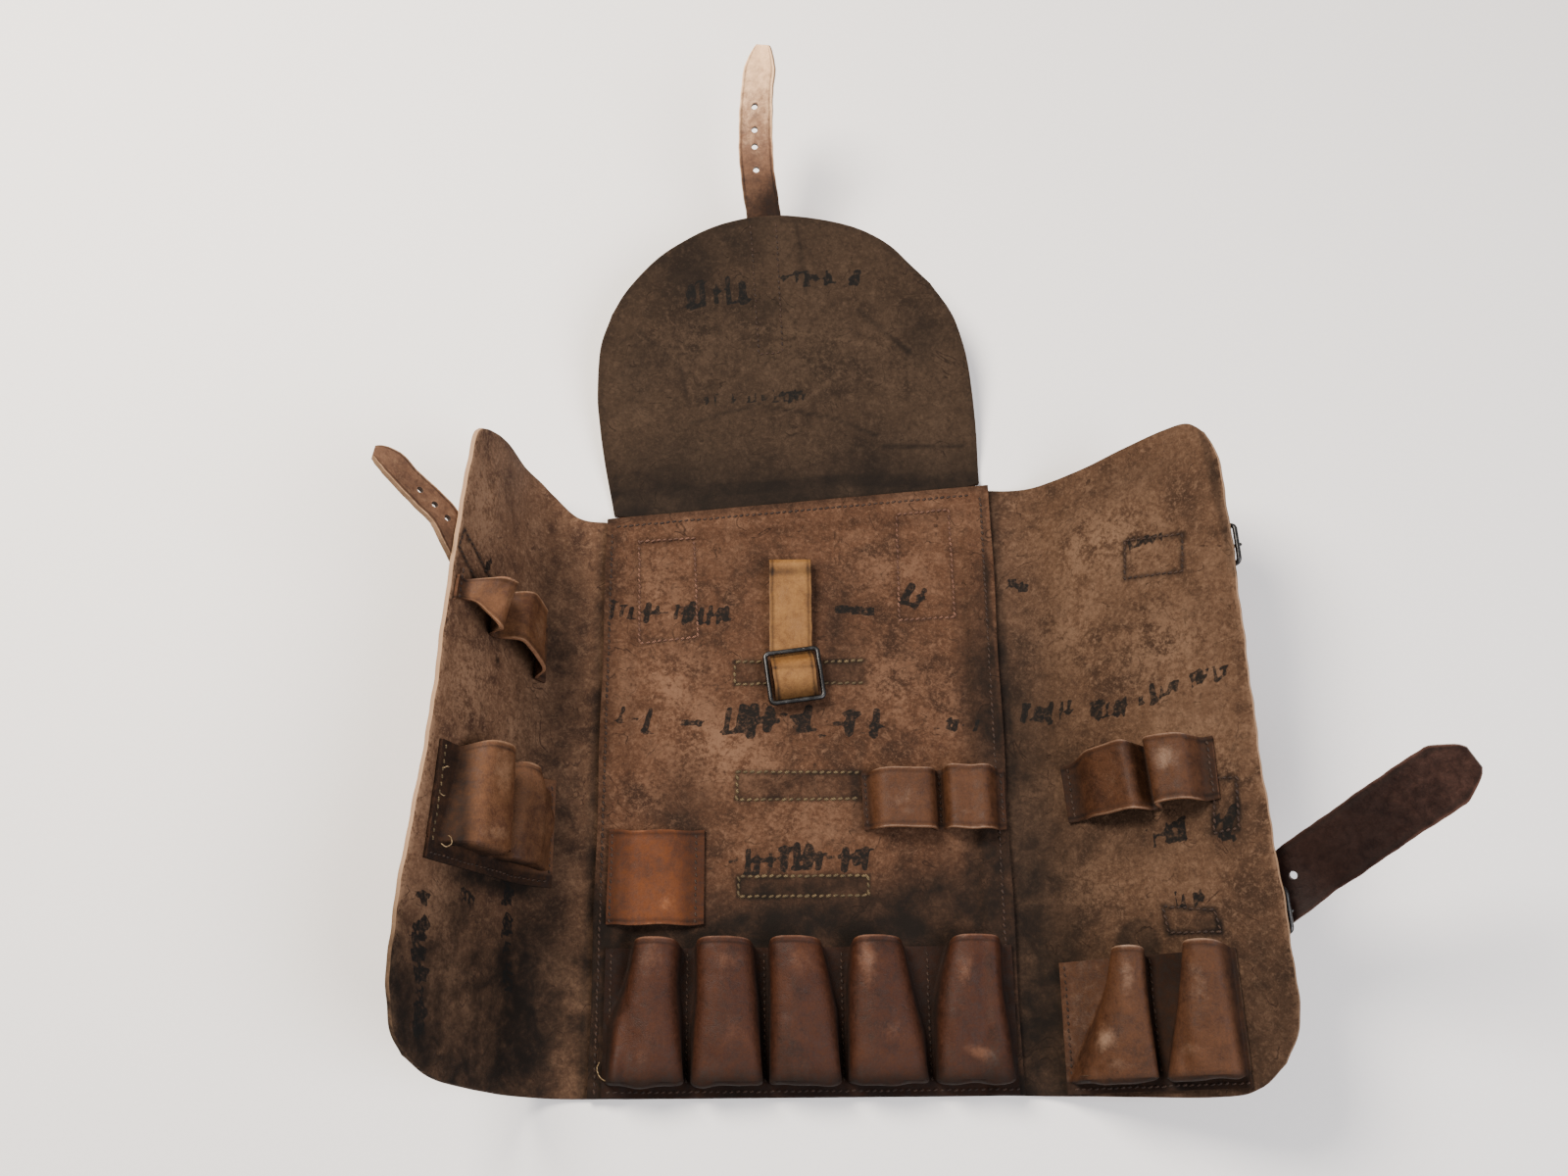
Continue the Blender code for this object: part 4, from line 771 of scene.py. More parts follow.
# The band along the crease and the line just above it are painted shade in the fold's valley.
flap_grime_and_shade = total(
    0.9 * ease(40, -4, fv),
    *spots(fu, fv, (0.45, (-10, 176), (70, 30)), (0.35, (-60, 30), (60, 36)), (0.6, (-58, 158), (30, 26), 30),
                   (0.5, (-8, 132), (22, 12)), (0.55, (92, 104), (26, 34)), (0.45, (-100, 96), (22, 40)),
                   (0.4, (-96, 24), (60, 40)), (0.3, (60, 30), (50, 30))),
    *lines(fu, fv, (0.6, [(-66, 58), (-20, 66), (30, 52), (56, 38)], 1.6), (0.6, [(52, 124), (84, 92)], 2.6),
                   (0.5, [(-96, 124), (-70, 96), (-66, 70)], 1.8), (0.5, [(16, 186), (18, 140)], 2.2),
                   (0.7, [(60, 30), (112, 26)], 2.2), (0.5, [(-120, 12), (30, 10), (118, 2)], 6),
                   (0.3, FLAP_LEFT[1:] + FLAP_TOP[1:] + FLAP_RIGHT[::-1][1:], 7)))
flap_worn = total(
    *spots(fu, fv, (0.35, (20, 100), (60, 40)), (0.35, (-60, 110), (44, 30)), (0.3, (80, 90), (34, 40))),
    *lines(fu, fv, (0.35, [(-30, 120), (12, 112), (70, 96)], 2.2), (0.35, [(0, 60), (38, 84), (92, 60)], 2.0)))
flap = lay("flap_leather_sheet", on_flap(fu, fv, 0.0),
           {"ink": flap_ink, "grime_and_shade": flap_grime_and_shade, "worn": flap_worn}, FLAP_FACE)
thicken(flap, BODY_THICK, SHADE_PAINTED_FLAP_FLESH, OUTSIDE_GRAIN, CUT_EDGE, 1.0)
rest_on_floor(flap)
belongs(flap, ["top_flap"])

# %% [markdown]
# ## Box pockets
#
# The five pockets on the panel are one strip of thin grain leather. It is sewn down in the valleys,
# stands up between them, and is folded under at its lower end. The strip's cross-section is worked out row
# by row: flat in the valley, up a side wall, over a softly crowned front and down again. Further rows fold
# the lower end over into a lip that overhangs the sewn margin. Dents and bulges are added on top, because
# tools have pushed each pocket into its own shape.

# %% Cross-section of a pocket
POCKET_THICK, SEWN_GAP = 2.0, 0.3
SEWN_TOP = SEWN_GAP + POCKET_THICK
# A line is pressed into the leather this far below a pocket's mouth.
PRESSED_AT = 3.4
MOUTH_LEAN, LIP_WAVE = 4.5, 0.9
ARC_STEPS = 6
# How the lower end folds under: y beside the pocket, y at its front, share of its height.
FOLD_UNDER = [(0.0, -0.4, 1.0), (-0.5, -2.0, 0.93), (-0.9, -2.9, 0.78), (-1.3, -2.6, 0.55), (-1.7, -1.4, 0.28),
              (-2.1, -0.3, 0.0)]


def bend_corners(corners, radii, straight=4):
    """Round each inner corner of a line, with a fixed number of points on arcs and straight parts."""
    pts = [np.array(p, dtype=float) for p in corners]
    out = [pts[0]]
    for i in range(1, len(pts) - 1):
        back, ahead = pts[i - 1] - pts[i], pts[i + 1] - pts[i]
        reach = min(radii[i - 1], 0.46 * np.linalg.norm(back), 0.46 * np.linalg.norm(ahead))
        start = pts[i] + back / np.linalg.norm(back) * reach
        end = pts[i] + ahead / np.linalg.norm(ahead) * reach
        first = out[-1]
        out += [lerp(first, start, k / straight) for k in range(1, straight)]
        out += [(1 - t) ** 2 * start + 2 * t * (1 - t) * pts[i] + t * t * end
                for t in np.linspace(0, 1, ARC_STEPS + 1)]
    first = out[-1]
    out += [lerp(first, pts[-1], k / straight) for k in range(1, straight + 1)]
    return np.array(out)


def pocket_sheet(spec, levels, margin, bumps, seed, reach, slant=0.0):
    """Across, y, height, how far each point stands up (0 to 1) and mm below the mouth, as grids.

    Reach says how far the foot of the left and right side stands out, at the mouth and at the lower end.
    """
    seam_left, seam_right, top, middle, bottom, height = spec
    fine = soft_curve([(levels[k], *edge) for k, edge in enumerate((top, middle, bottom))], 241)
    stops = np.concatenate([[0, 2, 4, 7, 10, 14], np.linspace(20, 240, 30)]).round().astype(int)
    rows = []
    for y, a, b in fine[stops]:
        t = ease(levels[0], levels[2], y)
        lean = MOUTH_LEAN * max(1 - (levels[0] - y) / 24, 0)
        rows.append((y, y, 1.0, a, b, lean, lerp(reach[0], reach[2], t), lerp(reach[1], reach[3], t)))
    for beside, ahead, share in soft_curve(FOLD_UNDER, 14):
        rows.append((levels[2] + beside, levels[2] + ahead, max(share, 0.0), *bottom, 0.0, *reach[2:]))
    start = levels[2] + FOLD_UNDER[-1][0]
    rows += [(lerp(start, margin, k / 4),) * 2 + (0.0, *bottom, 0.0, *reach[2:]) for k in range(1, 5)]
    across, along, up, raised_rows, below = [], [], [], [], []
    for beside, ahead, share, left, right, lean, out_left, out_right in rows:
        foot_left = max(left - out_left, seam_left + 2.2)
        foot_right = min(right + out_right, seam_right - 2.2)
        line_up = bend_corners([(seam_left, SEWN_TOP), (foot_left, SEWN_TOP), (left, height - 1.8),
                                (lerp(left, right, 0.42), height + 1.6), (right, height - 3.0),
                                (foot_right, SEWN_TOP), (seam_right, SEWN_TOP)], [1.8, 7.0, 24.0, 8.0, 1.8])
        x, n = line_up[:, 0], line_up[:, 1]
        raised = np.clip((n - SEWN_TOP) / (height - SEWN_TOP), 0, 1)
        standing = raised > 1e-6
        flat = x.copy()
        flat[standing] = np.linspace(foot_left, foot_right, standing.sum())
        x = lerp(flat, x, share)
        n = lerp(SEWN_TOP, n, share)
        down = max(levels[0] - beside, 0.0)
        lip = LIP_WAVE * (np.sin(x / 6.1 + seed) + 0.6 * np.sin(x / 3.3 + 2 * seed)) * share * (share < 1)
        drop = slant * (seam_right - x) / (seam_right - seam_left) * max(1 - down / 45, 0)
        y = lerp(beside - lean, ahead + lip, raised) - drop * raised
        for bx, by, rx, rey, amount in bumps:
            n = n + amount * np.exp(-((x - bx) / rx) ** 2 - ((y - by) / rey) ** 2) * raised * share
        pressed_line = 0.3 * np.exp(-((down - PRESSED_AT) / 0.9) ** 2)
        n = n + (0.55 * relief(x * 2.1, y * 2.1, seed + 5.0) - pressed_line) * raised * share
        across.append(x)
        along.append(y)
        up.append(n)
        raised_rows.append(raised * share)
        below.append(np.full_like(x, down))
    return np.array([across, along, up, raised_rows, below])


def pocket_strip(specs, levels, margin, bumps, reaches, seed, slants=(0.0,) * 5):
    """Model pockets side by side as one strip; each has its own bumps, reach, slant and seed."""
    rows = enumerate(zip(specs, bumps, reaches, slants))
    sheets = [pocket_sheet(spec, levels, margin, bump, seed + k, reach, slant)
              for k, (spec, bump, reach, slant) in rows]
    return np.concatenate([sheets[0]] + [sheet[:, :, 1:] for sheet in sheets[1:]], axis=2)


# %% The strip of five pockets
PANEL_POCKETS = [
    # seam left, seam right, front edges at the top, middle and bottom, height
    (-117.0, -68.8, (-98.5, -75.0), (-102.0, -75.5), (-112.0, -68.5), 20.0),
    (-68.8, -23.5, (-62.0, -32.0), (-61.0, -29.5), (-64.5, -23.5), 20.0),
    (-23.5, 21.8, (-19.5, 8.5), (-18.5, 14.5), (-19.5, 21.0), 20.0),
    (21.8, 72.3, (29.5, 56.0), (27.0, 61.5), (26.0, 70.0), 20.0),
    (72.3, 122.0, (87.0, 113.0), (79.5, 113.0), (75.5, 118.5), 19.0),
]
POCKET_LEVELS = (-97.0, -133.0, -177.5)
POCKET_BUMPS = [
    [(-102, -160, 9, 14, -1.6), (-82, -150, 8, 14, 0.9), (-108, -174, 5, 6, 1.4)],
    [(-44, -120, 7, 16, 0.8), (-50, -168, 14, 8, -1.0), (-30, -158, 6, 12, 0.8)],
    [(-4, -118, 6, 14, 0.7), (8, -166, 12, 8, -1.1), (-10, -150, 5, 14, 0.6)],
    [(40, -118, 6, 12, 0.9), (48, -150, 9, 14, -0.8), (60, -170, 8, 6, -0.9)],
    [(96, -118, 6, 16, 1.2), (97, -160, 12, 9, -2.6), (84, -146, 5, 12, 1.1), (108, -172, 7, 6, 1.0)],
]
POCKET_REACH = [(2.6, 2.6, 15.0, 5.0), (2.6, 2.6, 6.0, 6.0), (2.6, 2.6, 5.0, 6.0), (2.6, 2.6, 6.0, 6.0),
                (2.6, 3.0, 6.0, 5.0)]
sx, sy, sn, raised, below = pocket_strip(PANEL_POCKETS, POCKET_LEVELS, -185.4, POCKET_BUMPS, POCKET_REACH, 1.0)


def mouth_marks(below, raised):
    """Grime in the pressed line under a pocket's mouth, and wear on the mouth's edge."""
    grime_and_shade = 0.7 * raised * (1 - ease(0.0, 1.3, np.abs(below - PRESSED_AT)))
    return grime_and_shade, 0.8 * raised * (1 - ease(0.4, 1.8, below))


pressed, rubbed = mouth_marks(below, raised)
# Painted shade in the sewn valleys, deepest low down, and at the pockets' lower ends; painted
# shadow under the folded lip. The pressed line under each mouth is darkened too.
strip_shade_and_grime = total(
    pressed, 0.85 * (1 - ease(0.0, 0.8, raised)), 0.6 * (1 - ease(0.0, 0.85, raised)) * ease(-105, -135, sy),
    0.3 * ease(-150, -178, sy), 0.45 * ease(-168, -177, sy), 0.9 * ease(-176.6, -178.4, sy))
# The oval on the fifth pocket's dent is paler partly as a scuff and partly as painted sheen.
strip_wear_and_sheen = total(
    *spots(sx, sy, (0.55, (-88, -108), (14, 22)), (0.5, (-92, -164), (10, 8)), (0.5, (-46, -112), (20, 16)),
                   (0.3, (-40, -150), (18, 20)), (0.5, (-2, -112), (14, 18)), (0.3, (0, -170), (16, 12)),
                   (0.75, (36, -112), (10, 24)), (0.4, (50, -150), (14, 16)), (0.55, (92, -116), (12, 22)),
                   (0.8, (98, -163), (16, 8), -14)))
strip_wear_and_sheen = total(0.62 * strip_wear_and_sheen * ease(0.5, 1.0, raised), 0.6 * rubbed)
pockets = lay("panel_pocket_strip", on_panel(sx, sy, sn), {"grime_and_shade": strip_shade_and_grime, "worn": strip_wear_and_sheen})
thicken(pockets, POCKET_THICK, POCKET_GRAIN, SHADE_PAINTED_WING_FLESH, CUT_EDGE, 0.4)
belongs(pockets, [f"pocket_{k}" for k in range(1, 6)])

# %% Pockets on the right wing
RIGHT_POCKETS = [
    (26.0, 81.6, (64.6, 84.5), (57.0, 83.5), (42.0, 86.0), 18.0),
    (81.6, 131.5, (106.9, 127.0), (101.0, 128.0), (91.0, 130.0), 18.0),
]
RIGHT_LEVELS = (-108.0, -137.0, -179.0)
RIGHT_BUMPS = [
    [(60, -160, 12, 12, 1.4), (72, -140, 6, 20, 0.7), (50, -172, 7, 6, -1.2)],
    [(100, -168, 6, 8, -2.4), (108, -160, 4, 16, 1.6), (118, -150, 6, 20, 0.6)],
]
RIGHT_REACH = [(3.0, 2.6, 14.0, 5.0), (2.6, 3.0, 6.0, 4.0)]
sx, sy, sn, raised, below = pocket_strip(RIGHT_POCKETS, RIGHT_LEVELS, -186.0, RIGHT_BUMPS, RIGHT_REACH, 7.0)
pressed, rubbed = mouth_marks(below, raised)
# Painted shade in the sewn valleys, painted shadow under the folded lip, and a darkened pressed line.
right_strip_shade_and_grime = total(pressed, 0.7 * (1 - ease(0.0, 0.85, raised)) * ease(50, 84, sx),
                          0.9 * ease(-178.0, -180, sy), 0.2 * (1 - raised))
# The oval on the first pocket's belly is paler partly as a scuff and partly as painted highlight.
right_strip_wear_and_sheen = total(
    *spots(sx, sy, (0.9, (57, -158), (13, 13), 30), (0.5, (74, -126), (8, 26)), (0.45, (114, -132), (9, 30)),
                   (0.5, (104, -166), (12, 9)), (0.5, (64, -172), (18, 7))))
right_strip_wear_and_sheen = total(0.6 * right_strip_wear_and_sheen * ease(0.5, 1.0, raised), 0.7 * rubbed,
                         0.2 * (1 - ease(0.0, 0.3, raised)) * ease(74, 44, sx))
right_pockets = lay("right_pocket_strip", on_right(sx, sy, sn + SEWN_GAP),
                    {"grime_and_shade": right_strip_shade_and_grime, "worn": right_strip_wear_and_sheen}, RIGHT_FACE)
thicken(right_pockets, POCKET_THICK, WING_POCKET_GRAIN, SHADE_PAINTED_WING_FLESH, RAW_EDGE, 0.4)
belongs(right_pockets, ["right_pocket_1", "right_pocket_2"])

# %% Pockets on the left wing
LEFT_POCKETS = [
    (27.0, 83.5, (60.0, 74.0), (34.0, 76.5), (46.0, 78.0), 20.0),
    (83.5, 141.0, (95.0, 120.0), (91.0, 121.0), (88.5, 123.5), 24.0),
]
LEFT_LEVELS = (4.0, -24.0, -55.0)
LEFT_BUMPS = [
    [(60, -20, 9, 22, 1.2), (46, -40, 9, 10, -1.4)],
    [(112, -14, 9, 16, -0.9), (104, -44, 8, 8, 1.3), (122, -30, 5, 20, 0.8)],
]
LEFT_REACH = [(18.0, 4.0, 22.0, 4.0), (4.0, 3.0, 4.0, 8.0)]
sx, sy, sn, raised, below = pocket_strip(LEFT_POCKETS, LEFT_LEVELS, -66.0, LEFT_BUMPS, LEFT_REACH, 11.0, (15.0, 2.0))
pressed, rubbed = mouth_marks(below, raised)
# Painted shade on the sewn flat parts and by the second pocket's right wall; the bottom margin is
# dark partly as its own leather and partly as painted shadow; the pressed line is darkened too.
left_strip_shade_and_grime = total(pressed, 0.8 * (1 - ease(0.0, 0.85, raised)) * ease(40, 80, sx),
                         0.8 * ease(-55, -60, sy), 0.3 * ease(92, 60, sx), 0.9 * ease(121, 128, sx))
left_strip_worn = total(
    *spots(sx, sy, (0.5, (108, -14), (18, 26)), (0.5, (110, -48), (22, 10)), (0.3, (56, -30), (18, 24))))
left_strip_worn = total(0.7 * left_strip_worn * ease(0.5, 1.0, raised), 0.6 * rubbed)
left_pockets = lay("left_pocket_strip", on_left(sx, sy, sn + SEWN_GAP),
                   {"grime_and_shade": left_strip_shade_and_grime, "worn": left_strip_worn}, LEFT_FACE)
thicken(left_pockets, POCKET_THICK, LEFT_POCKET_GRAIN, SHADE_PAINTED_WING_FLESH, CUT_EDGE, 0.4)
belongs(left_pockets, ["left_pocket_1", "left_pocket_2"])

# %% [markdown]
# ## Tool loops and the patch
#
# A loop band is a strip that is sewn down, bulges up to hold a handle, and is sewn down again. Its two
# open edges are not quite parallel, so the shape is a blend from one edge line to the other, a little
# slack in the middle. The orange patch is the same thing, wide and low.

# %% Bands that stand up between their seams
SLACK = 0.8


def band_sheet(first_edge, last_edge, radius, seed):
    """Across, y and height of a band as grids, and how far each point stands up (0 to 1)."""
    edges = []
    for edge in (first_edge, last_edge):
        corners = [(a, y, SEWN_TOP if n == 0 else n) for a, y, n in edge]
        edges.append(bend_corners(corners, [radius] * len(corners), straight=5))
    t = np.unique(np.concatenate([np.linspace(0, 1, 26), [0.015, 0.06, 0.08, 0.92, 0.94, 0.985]]))
    t = t[:, None, None]
    sheet = lerp(edges[0][None], edges[1][None], t)
    a, y, n = sheet[..., 0], sheet[..., 1], sheet[..., 2]
    raised = np.clip((n - SEWN_TOP) / 9.0, 0, 1)
    middle = np.sin(math.pi * t[..., 0]) ** 0.6
    n = n - SLACK * middle * raised + 0.4 * relief(a * 2.4, y * 2.4, seed) * raised
    edge_wave = 0.35 * np.sin(a / 5.0 + seed) * (1 - middle)
    from_edge = np.minimum(t[..., 0], 1 - t[..., 0]) * np.abs(edges[0][:, 1] - edges[1][:, 1]).mean()
    return a, y + edge_wave, n, raised, from_edge + 0 * a


def lay_band(name, surface, edges, facing, material, worn, radius, seed, lift=0.0):
    """Model a band with bends of this radius; worn lists the middle, radii and strength of its scuffs."""
    a, y, n, up, from_edge = band_sheet(*edges, radius, seed)
    scuffs = total(*[amount * spot(a, y, middle, radii) for middle, radii, amount in worn])
    pressed = 1 - ease(0.0, 1.4, np.abs(from_edge - 2.6))
    # The sewn-down flat parts are painted in shade; the pressed line by each edge is darkened too.
    grime_and_shade = total(0.7 * (1 - ease(0.0, 0.7, up)), 0.45 * pressed)
    scuffs = total(0.65 * scuffs, 0.5 * (1 - ease(0.3, 1.4, from_edge)))
    n = n - 0.25 * pressed * up
    piece = lay(name, surface(a, y, n + lift), {"grime_and_shade": grime_and_shade, "worn": scuffs * up}, facing)
    return thicken(piece, POCKET_THICK, material, SHADE_PAINTED_WING_FLESH, CUT_EDGE, 0.4)


CENTRE_LOOPS = (
    [(36.5, 4.0, 0), (39.4, 4.0, 0), (46.5, 4.2, 14), (78.0, 4.0, 16.5), (82.5, 4.2, 0), (85.5, 4.8, 0),
     (88.5, 5.5, 17), (113.0, 5.0, 15), (119.5, 4.0, 0), (123.5, 4.0, 0)],
    [(37.5, -31.5, 0), (40.4, -31.5, 0), (47.5, -32.0, 13), (79.0, -32.5, 15), (83.0, -32.5, 0), (86.0, -32.5, 0),
     (89.0, -33.0, 15), (113.0, -34.0, 14), (119.5, -33.5, 0), (123.5, -33.0, 0)],
)
RIGHT_LOOPS = (
    [(36.0, 3.5, 0), (46.0, 4.5, 0), (60.0, 8.0, 15), (88.0, 8.5, 21), (92.0, 7.0, 0), (95.5, 7.0, 0),
     (99.0, 7.5, 22), (124.0, 6.5, 20), (128.5, 6.0, 0), (134.5, 6.0, 0)],
    [(39.0, -31.0, 0), (48.0, -31.5, 0), (60.0, -31.0, 11), (91.0, -32.0, 19), (94.5, -31.0, 0), (98.0, -31.0, 0),
     (101.5, -31.0, 20), (123.0, -31.0, 19), (128.0, -30.5, 0), (134.5, -30.0, 0)],
)
LEFT_LOOPS = (
    [(38.0, 98.0, 0), (45.0, 98.0, 0), (55.0, 99.5, 18), (87.0, 103.5, 21), (94.0, 102.0, 0), (98.0, 102.0, 0),
     (117.0, 97.0, 28), (132.0, 95.5, 23), (138.5, 93.5, 0), (145.0, 94.5, 0)],
    [(38.0, 60.0, 0), (45.0, 60.5, 0), (54.0, 62.0, 18), (93.0, 71.5, 20), (97.0, 72.5, 0), (101.0, 73.0, 0),
     (124.0, 66.5, 24), (135.0, 80.5, 10), (139.0, 82.0, 0), (146.5, 79.0, 0)],
)
centre_loops = lay_band("centre_loop_band", on_panel, CENTRE_LOOPS, UP, WING_POCKET_GRAIN,
                        [((62, -16), (16, 20), 0.35), ((100, -24), (14, 12), 0.2)], 6.0, seed=3.0)
belongs(centre_loops, ["centre_loops"])
right_loops = lay_band("right_loop_band", on_right, RIGHT_LOOPS, RIGHT_FACE,
                       WING_POCKET_GRAIN, [((112, -6), (14, 16), 0.7), ((76, -14), (16, 16), 0.35)], 6.5, seed=4.0,
                       lift=SEWN_GAP)
belongs(right_loops, ["right_loops"])
left_loops = lay_band("left_loop_band", on_left, LEFT_LOOPS, LEFT_FACE,
                      LEFT_POCKET_GRAIN, [((118, 86), (16, 18), 0.5), ((70, 84), (20, 18), 0.5)], 7.5, seed=5.0,
                      lift=SEWN_GAP)
belongs(left_loops, ["left_loops"])

# %% Orange patch
PATCH_BAND = (
    [(-117.0, -31.0, 0), (-115.0, -31.0, 0), (-103.0, -31.5, 6.6), (-78.0, -31.5, 6.4), (-65.5, -31.0, 0),
     (-59.5, -31.0, 0)],
    [(-117.5, -88.0, 0), (-115.5, -88.0, 0), (-103.0, -88.0, 7.0), (-78.0, -88.0, 6.8), (-65.5, -88.0, 0),
     (-59.5, -87.5, 0)],
)
patch = lay_band("orange_patch_band", on_panel, PATCH_BAND, UP, PATCH_GRAIN,
                 [((-80, -76), (20, 11), 0.7), ((-100, -50), (12, 16), 0.3)], 11.0, seed=6.0)
belongs(patch, ["patch_band"])

# %% [markdown]
# ## Straps, tab and chapes
#
# A strap is a ribbon: a centre line in space and, at each point, the direction of its width. Its end is cut
# to a blunt point. Holes are cut right through with round cutters, after the strap has its thickness, so
# light falls through them. The tan tab is the same ribbon, rolled over at its top and pushed through the wire
# slide, where it swells.

# %% Ribbons
STRAP_THICK = 3.0


def ribbon(name, centres, sides, width, thick, face, back, edge, rows=90, tip=None, layers=None,
           facing=UP):
    """A flat strip along a line through centres (mm), with its width along sides."""
    path = soft_curve([tuple(c) + tuple(s) for c, s in zip(centres, sides)], rows)
    centre, side = path[:, :3], path[:, 3:]
    ahead = np.gradient(centre, axis=0)
    ahead = ahead / np.linalg.norm(ahead, axis=1)[:, None]
    side = side - ahead * (side * ahead).sum(axis=1)[:, None]
    side = side / np.linalg.norm(side, axis=1)[:, None]
    run = np.concatenate([[0.0], np.cumsum(np.linalg.norm(np.diff(centre, axis=0), axis=1))])
    left = run[-1] - run
    half = np.full(rows, width / 2)
    if tip:
        half = half * lerp(tip[0], 1.0, np.clip(left / tip[1], 0, 1) ** 0.7)
    half = half + 0.12 * np.sin(run / 4.3) + 0.1 * np.sin(run / 1.9)
    w = np.linspace(-1, 1, max(int(width * 1.1), 12))
    points = centre[:, None, :] + side[:, None, :] * (half[:, None] * w[None])[..., None]
    cross = np.abs(w)[None] * np.ones((rows, 1))
    pressed = 1 - ease(0.0, 0.09, np.abs(cross - 0.84))
    made = {"grime_and_shade": total(0.55 * pressed), "worn": total(0.5 * ease(0.9, 1.0, cross))}
    for key, value in (layers or {}).items():
        made[key] = total(made[key], value(run[:, None] + 0 * cross, w[None] * half[:, None]))
    piece = lay(name, points * MM, made, facing)
    shell(piece, thick, (face, back, edge), 0.5, 0.0)
    print(name, "is", round(run[-1], 1), "mm long and", width, "mm wide")
    return piece


def punch(piece, centres, normal, radius=2.1):
    """Cut round holes through a strap, and leave no cutter behind."""
    turn = Vector(normal).to_track_quat("Z", "Y").to_euler()
    for centre in centres:
        bpy.ops.object.select_all(action="DESELECT")
        bpy.ops.mesh.primitive_cylinder_add(vertices=28, radius=radius * MM, depth=16 * MM,
                                            location=Vector(centre) * MM, rotation=turn)
        cutter = bpy.context.active_object
        cutter.data.materials.append(DARK_EDGE)
        use(piece, "BOOLEAN", operation="DIFFERENCE", solver="EXACT", object=cutter, material_mode="TRANSFER")
        bpy.data.objects.remove(cutter, do_unlink=True)


def side_on(points, surface, depths):
    """Centre points and width directions of a line drawn on a sheet at the given depths (mm)."""
    centres, sides = [], []
    for i, (a, b) in enumerate(points):
        before, after = np.array(points[max(i - 1, 0)]), np.array(points[min(i + 1, len(points) - 1)])
        along = (after - before) / np.linalg.norm(after - before)
        here = surface(a, b, depths[i]) / MM
        sides.append(surface(a + along[1], b - along[0], depths[i]) / MM - here)
        centres.append(here)
    return centres, sides


# %% Flap strap
FLAP_STRAP_SEWN = [(-9.0, 96.0), (-8.0, 128.0), (-6.8, 160.0), (-5.4, 186.0), (-5.0, 193.5)]
FLAP_STRAP_FREE = [
    # x, y, z, slope of its width
    (-24.4, 396.0, 57.5, 0.02), (-26.1, 414.0, 61.6, 0.08), (-26.3, 434.0, 67.4, 0.20),
    (-25.3, 455.0, 75.2, 0.38), (-23.0, 471.0, 83.0, 0.50), (-20.6, 483.5, 90.0, 0.55),
]
under = -BODY_THICK - SEWN_GAP - STRAP_THICK / 2 - 0.3
centres, sides = side_on(FLAP_STRAP_SEWN, on_flap, [under] * 5)
centres += [np.array(row[:3]) for row in FLAP_STRAP_FREE]
sides += [np.array([1.0, -0.06, row[3]]) for row in FLAP_STRAP_FREE]
# Paler toward the tip, partly as wear and partly as painted light; darker where it leaves the flap.
strap_layers = {"worn": lambda run, w: 0.7 * ease(110, 235, run),
              "grime_and_shade": lambda run, w: 0.95 * ease(150, 104, run)}
flap_strap = ribbon("flap_closing_strap", centres, sides, 23.0, STRAP_THICK, STRAP_HIDE, OUTSIDE_GRAIN, RAW_EDGE,
                    130, (0.42, 15.0), strap_layers, FLAP_FACE)
punch(flap_strap, [(-26.2, 405.2, 59.5), (-27.1, 421.0, 63.6), (-27.1, 432.1, 66.9), (-27.0, 447.0, 72.2)],
      (0.05, -0.25, 0.97))
smooth(flap_strap)
belongs(flap_strap, ["flap_strap"])

# %% Left strap
LEFT_STRAP_SEWN = [(92.0, 95.0), (112.0, 103.5), (132.0, 112.0), (148.0, 119.0)]
LEFT_STRAP_FREE = [
    # x, y, z, direction of its width
    (-205.4, 128.9, 118.0, -0.20, -0.85, 0.49), (-215.7, 138.8, 123.0, -0.30, -0.76, 0.57),
    (-225.2, 147.0, 129.0, -0.34, -0.69, 0.64), (-233.0, 155.0, 133.0, -0.36, -0.67, 0.65),
    (-240.0, 159.2, 137.0, -0.40, -0.66, 0.64), (-243.6, 160.2, 138.5, -0.42, -0.66, 0.62),
]
under = -BODY_THICK - SEWN_GAP - STRAP_THICK / 2 - 0.5
centres, sides = side_on(LEFT_STRAP_SEWN, on_left, [under] * 4)
centres += [np.array(row[:3]) for row in LEFT_STRAP_FREE]
sides += [np.array(row[3:]) for row in LEFT_STRAP_FREE]
strap_layers = {"grime_and_shade": lambda run, w: 0.4 + 0 * run, "worn": lambda run, w: 0.1 + 0 * run}
left_strap = ribbon("left_closing_strap", centres, sides, 22.0, STRAP_THICK, STRAP_HIDE, OUTSIDE_GRAIN, RAW_EDGE,
                    90, (0.45, 12.0), strap_layers, (0.3, -0.2, 0.9))
punch(left_strap, [lerp(centres[a], centres[a + 1], t) for a, t in ((4, -0.15), (4, 0.55), (5, 0.35))],
      (0.62, 0.28, 0.73))
smooth(left_strap)
belongs(left_strap, ["left_strap"])

# %% Dark strap under the right wing
RIGHT_STRAP_SEWN = [
    # distance out, y, height above the inner face
    (40.0, -133.0, -5.1), (56.0, -126.0, -5.1), (68.0, -121.0, -5.4), (80.0, -115.5, -9.5),
    (92.0, -110.0, -14.5), (106.0, -103.5, -17.4), (130.0, -92.5, -18.0), (152.0, -83.0, -17.6),
]
RIGHT_STRAP_FREE = [(281.0, -69.5, 80.0), (293.3, -61.8, 92.0), (314.8, -47.5, 112.0), (335.3, -34.8, 131.0),
                    (344.6, -29.4, 139.5), (351.2, -25.6, 145.5)]
centres, sides = side_on([row[:2] for row in RIGHT_STRAP_SEWN], on_right,
                         [row[2] for row in RIGHT_STRAP_SEWN])
centres += [np.array(row) for row in RIGHT_STRAP_FREE]
sides += [np.array([0.53, -0.85, 0.0])] * len(RIGHT_STRAP_FREE)
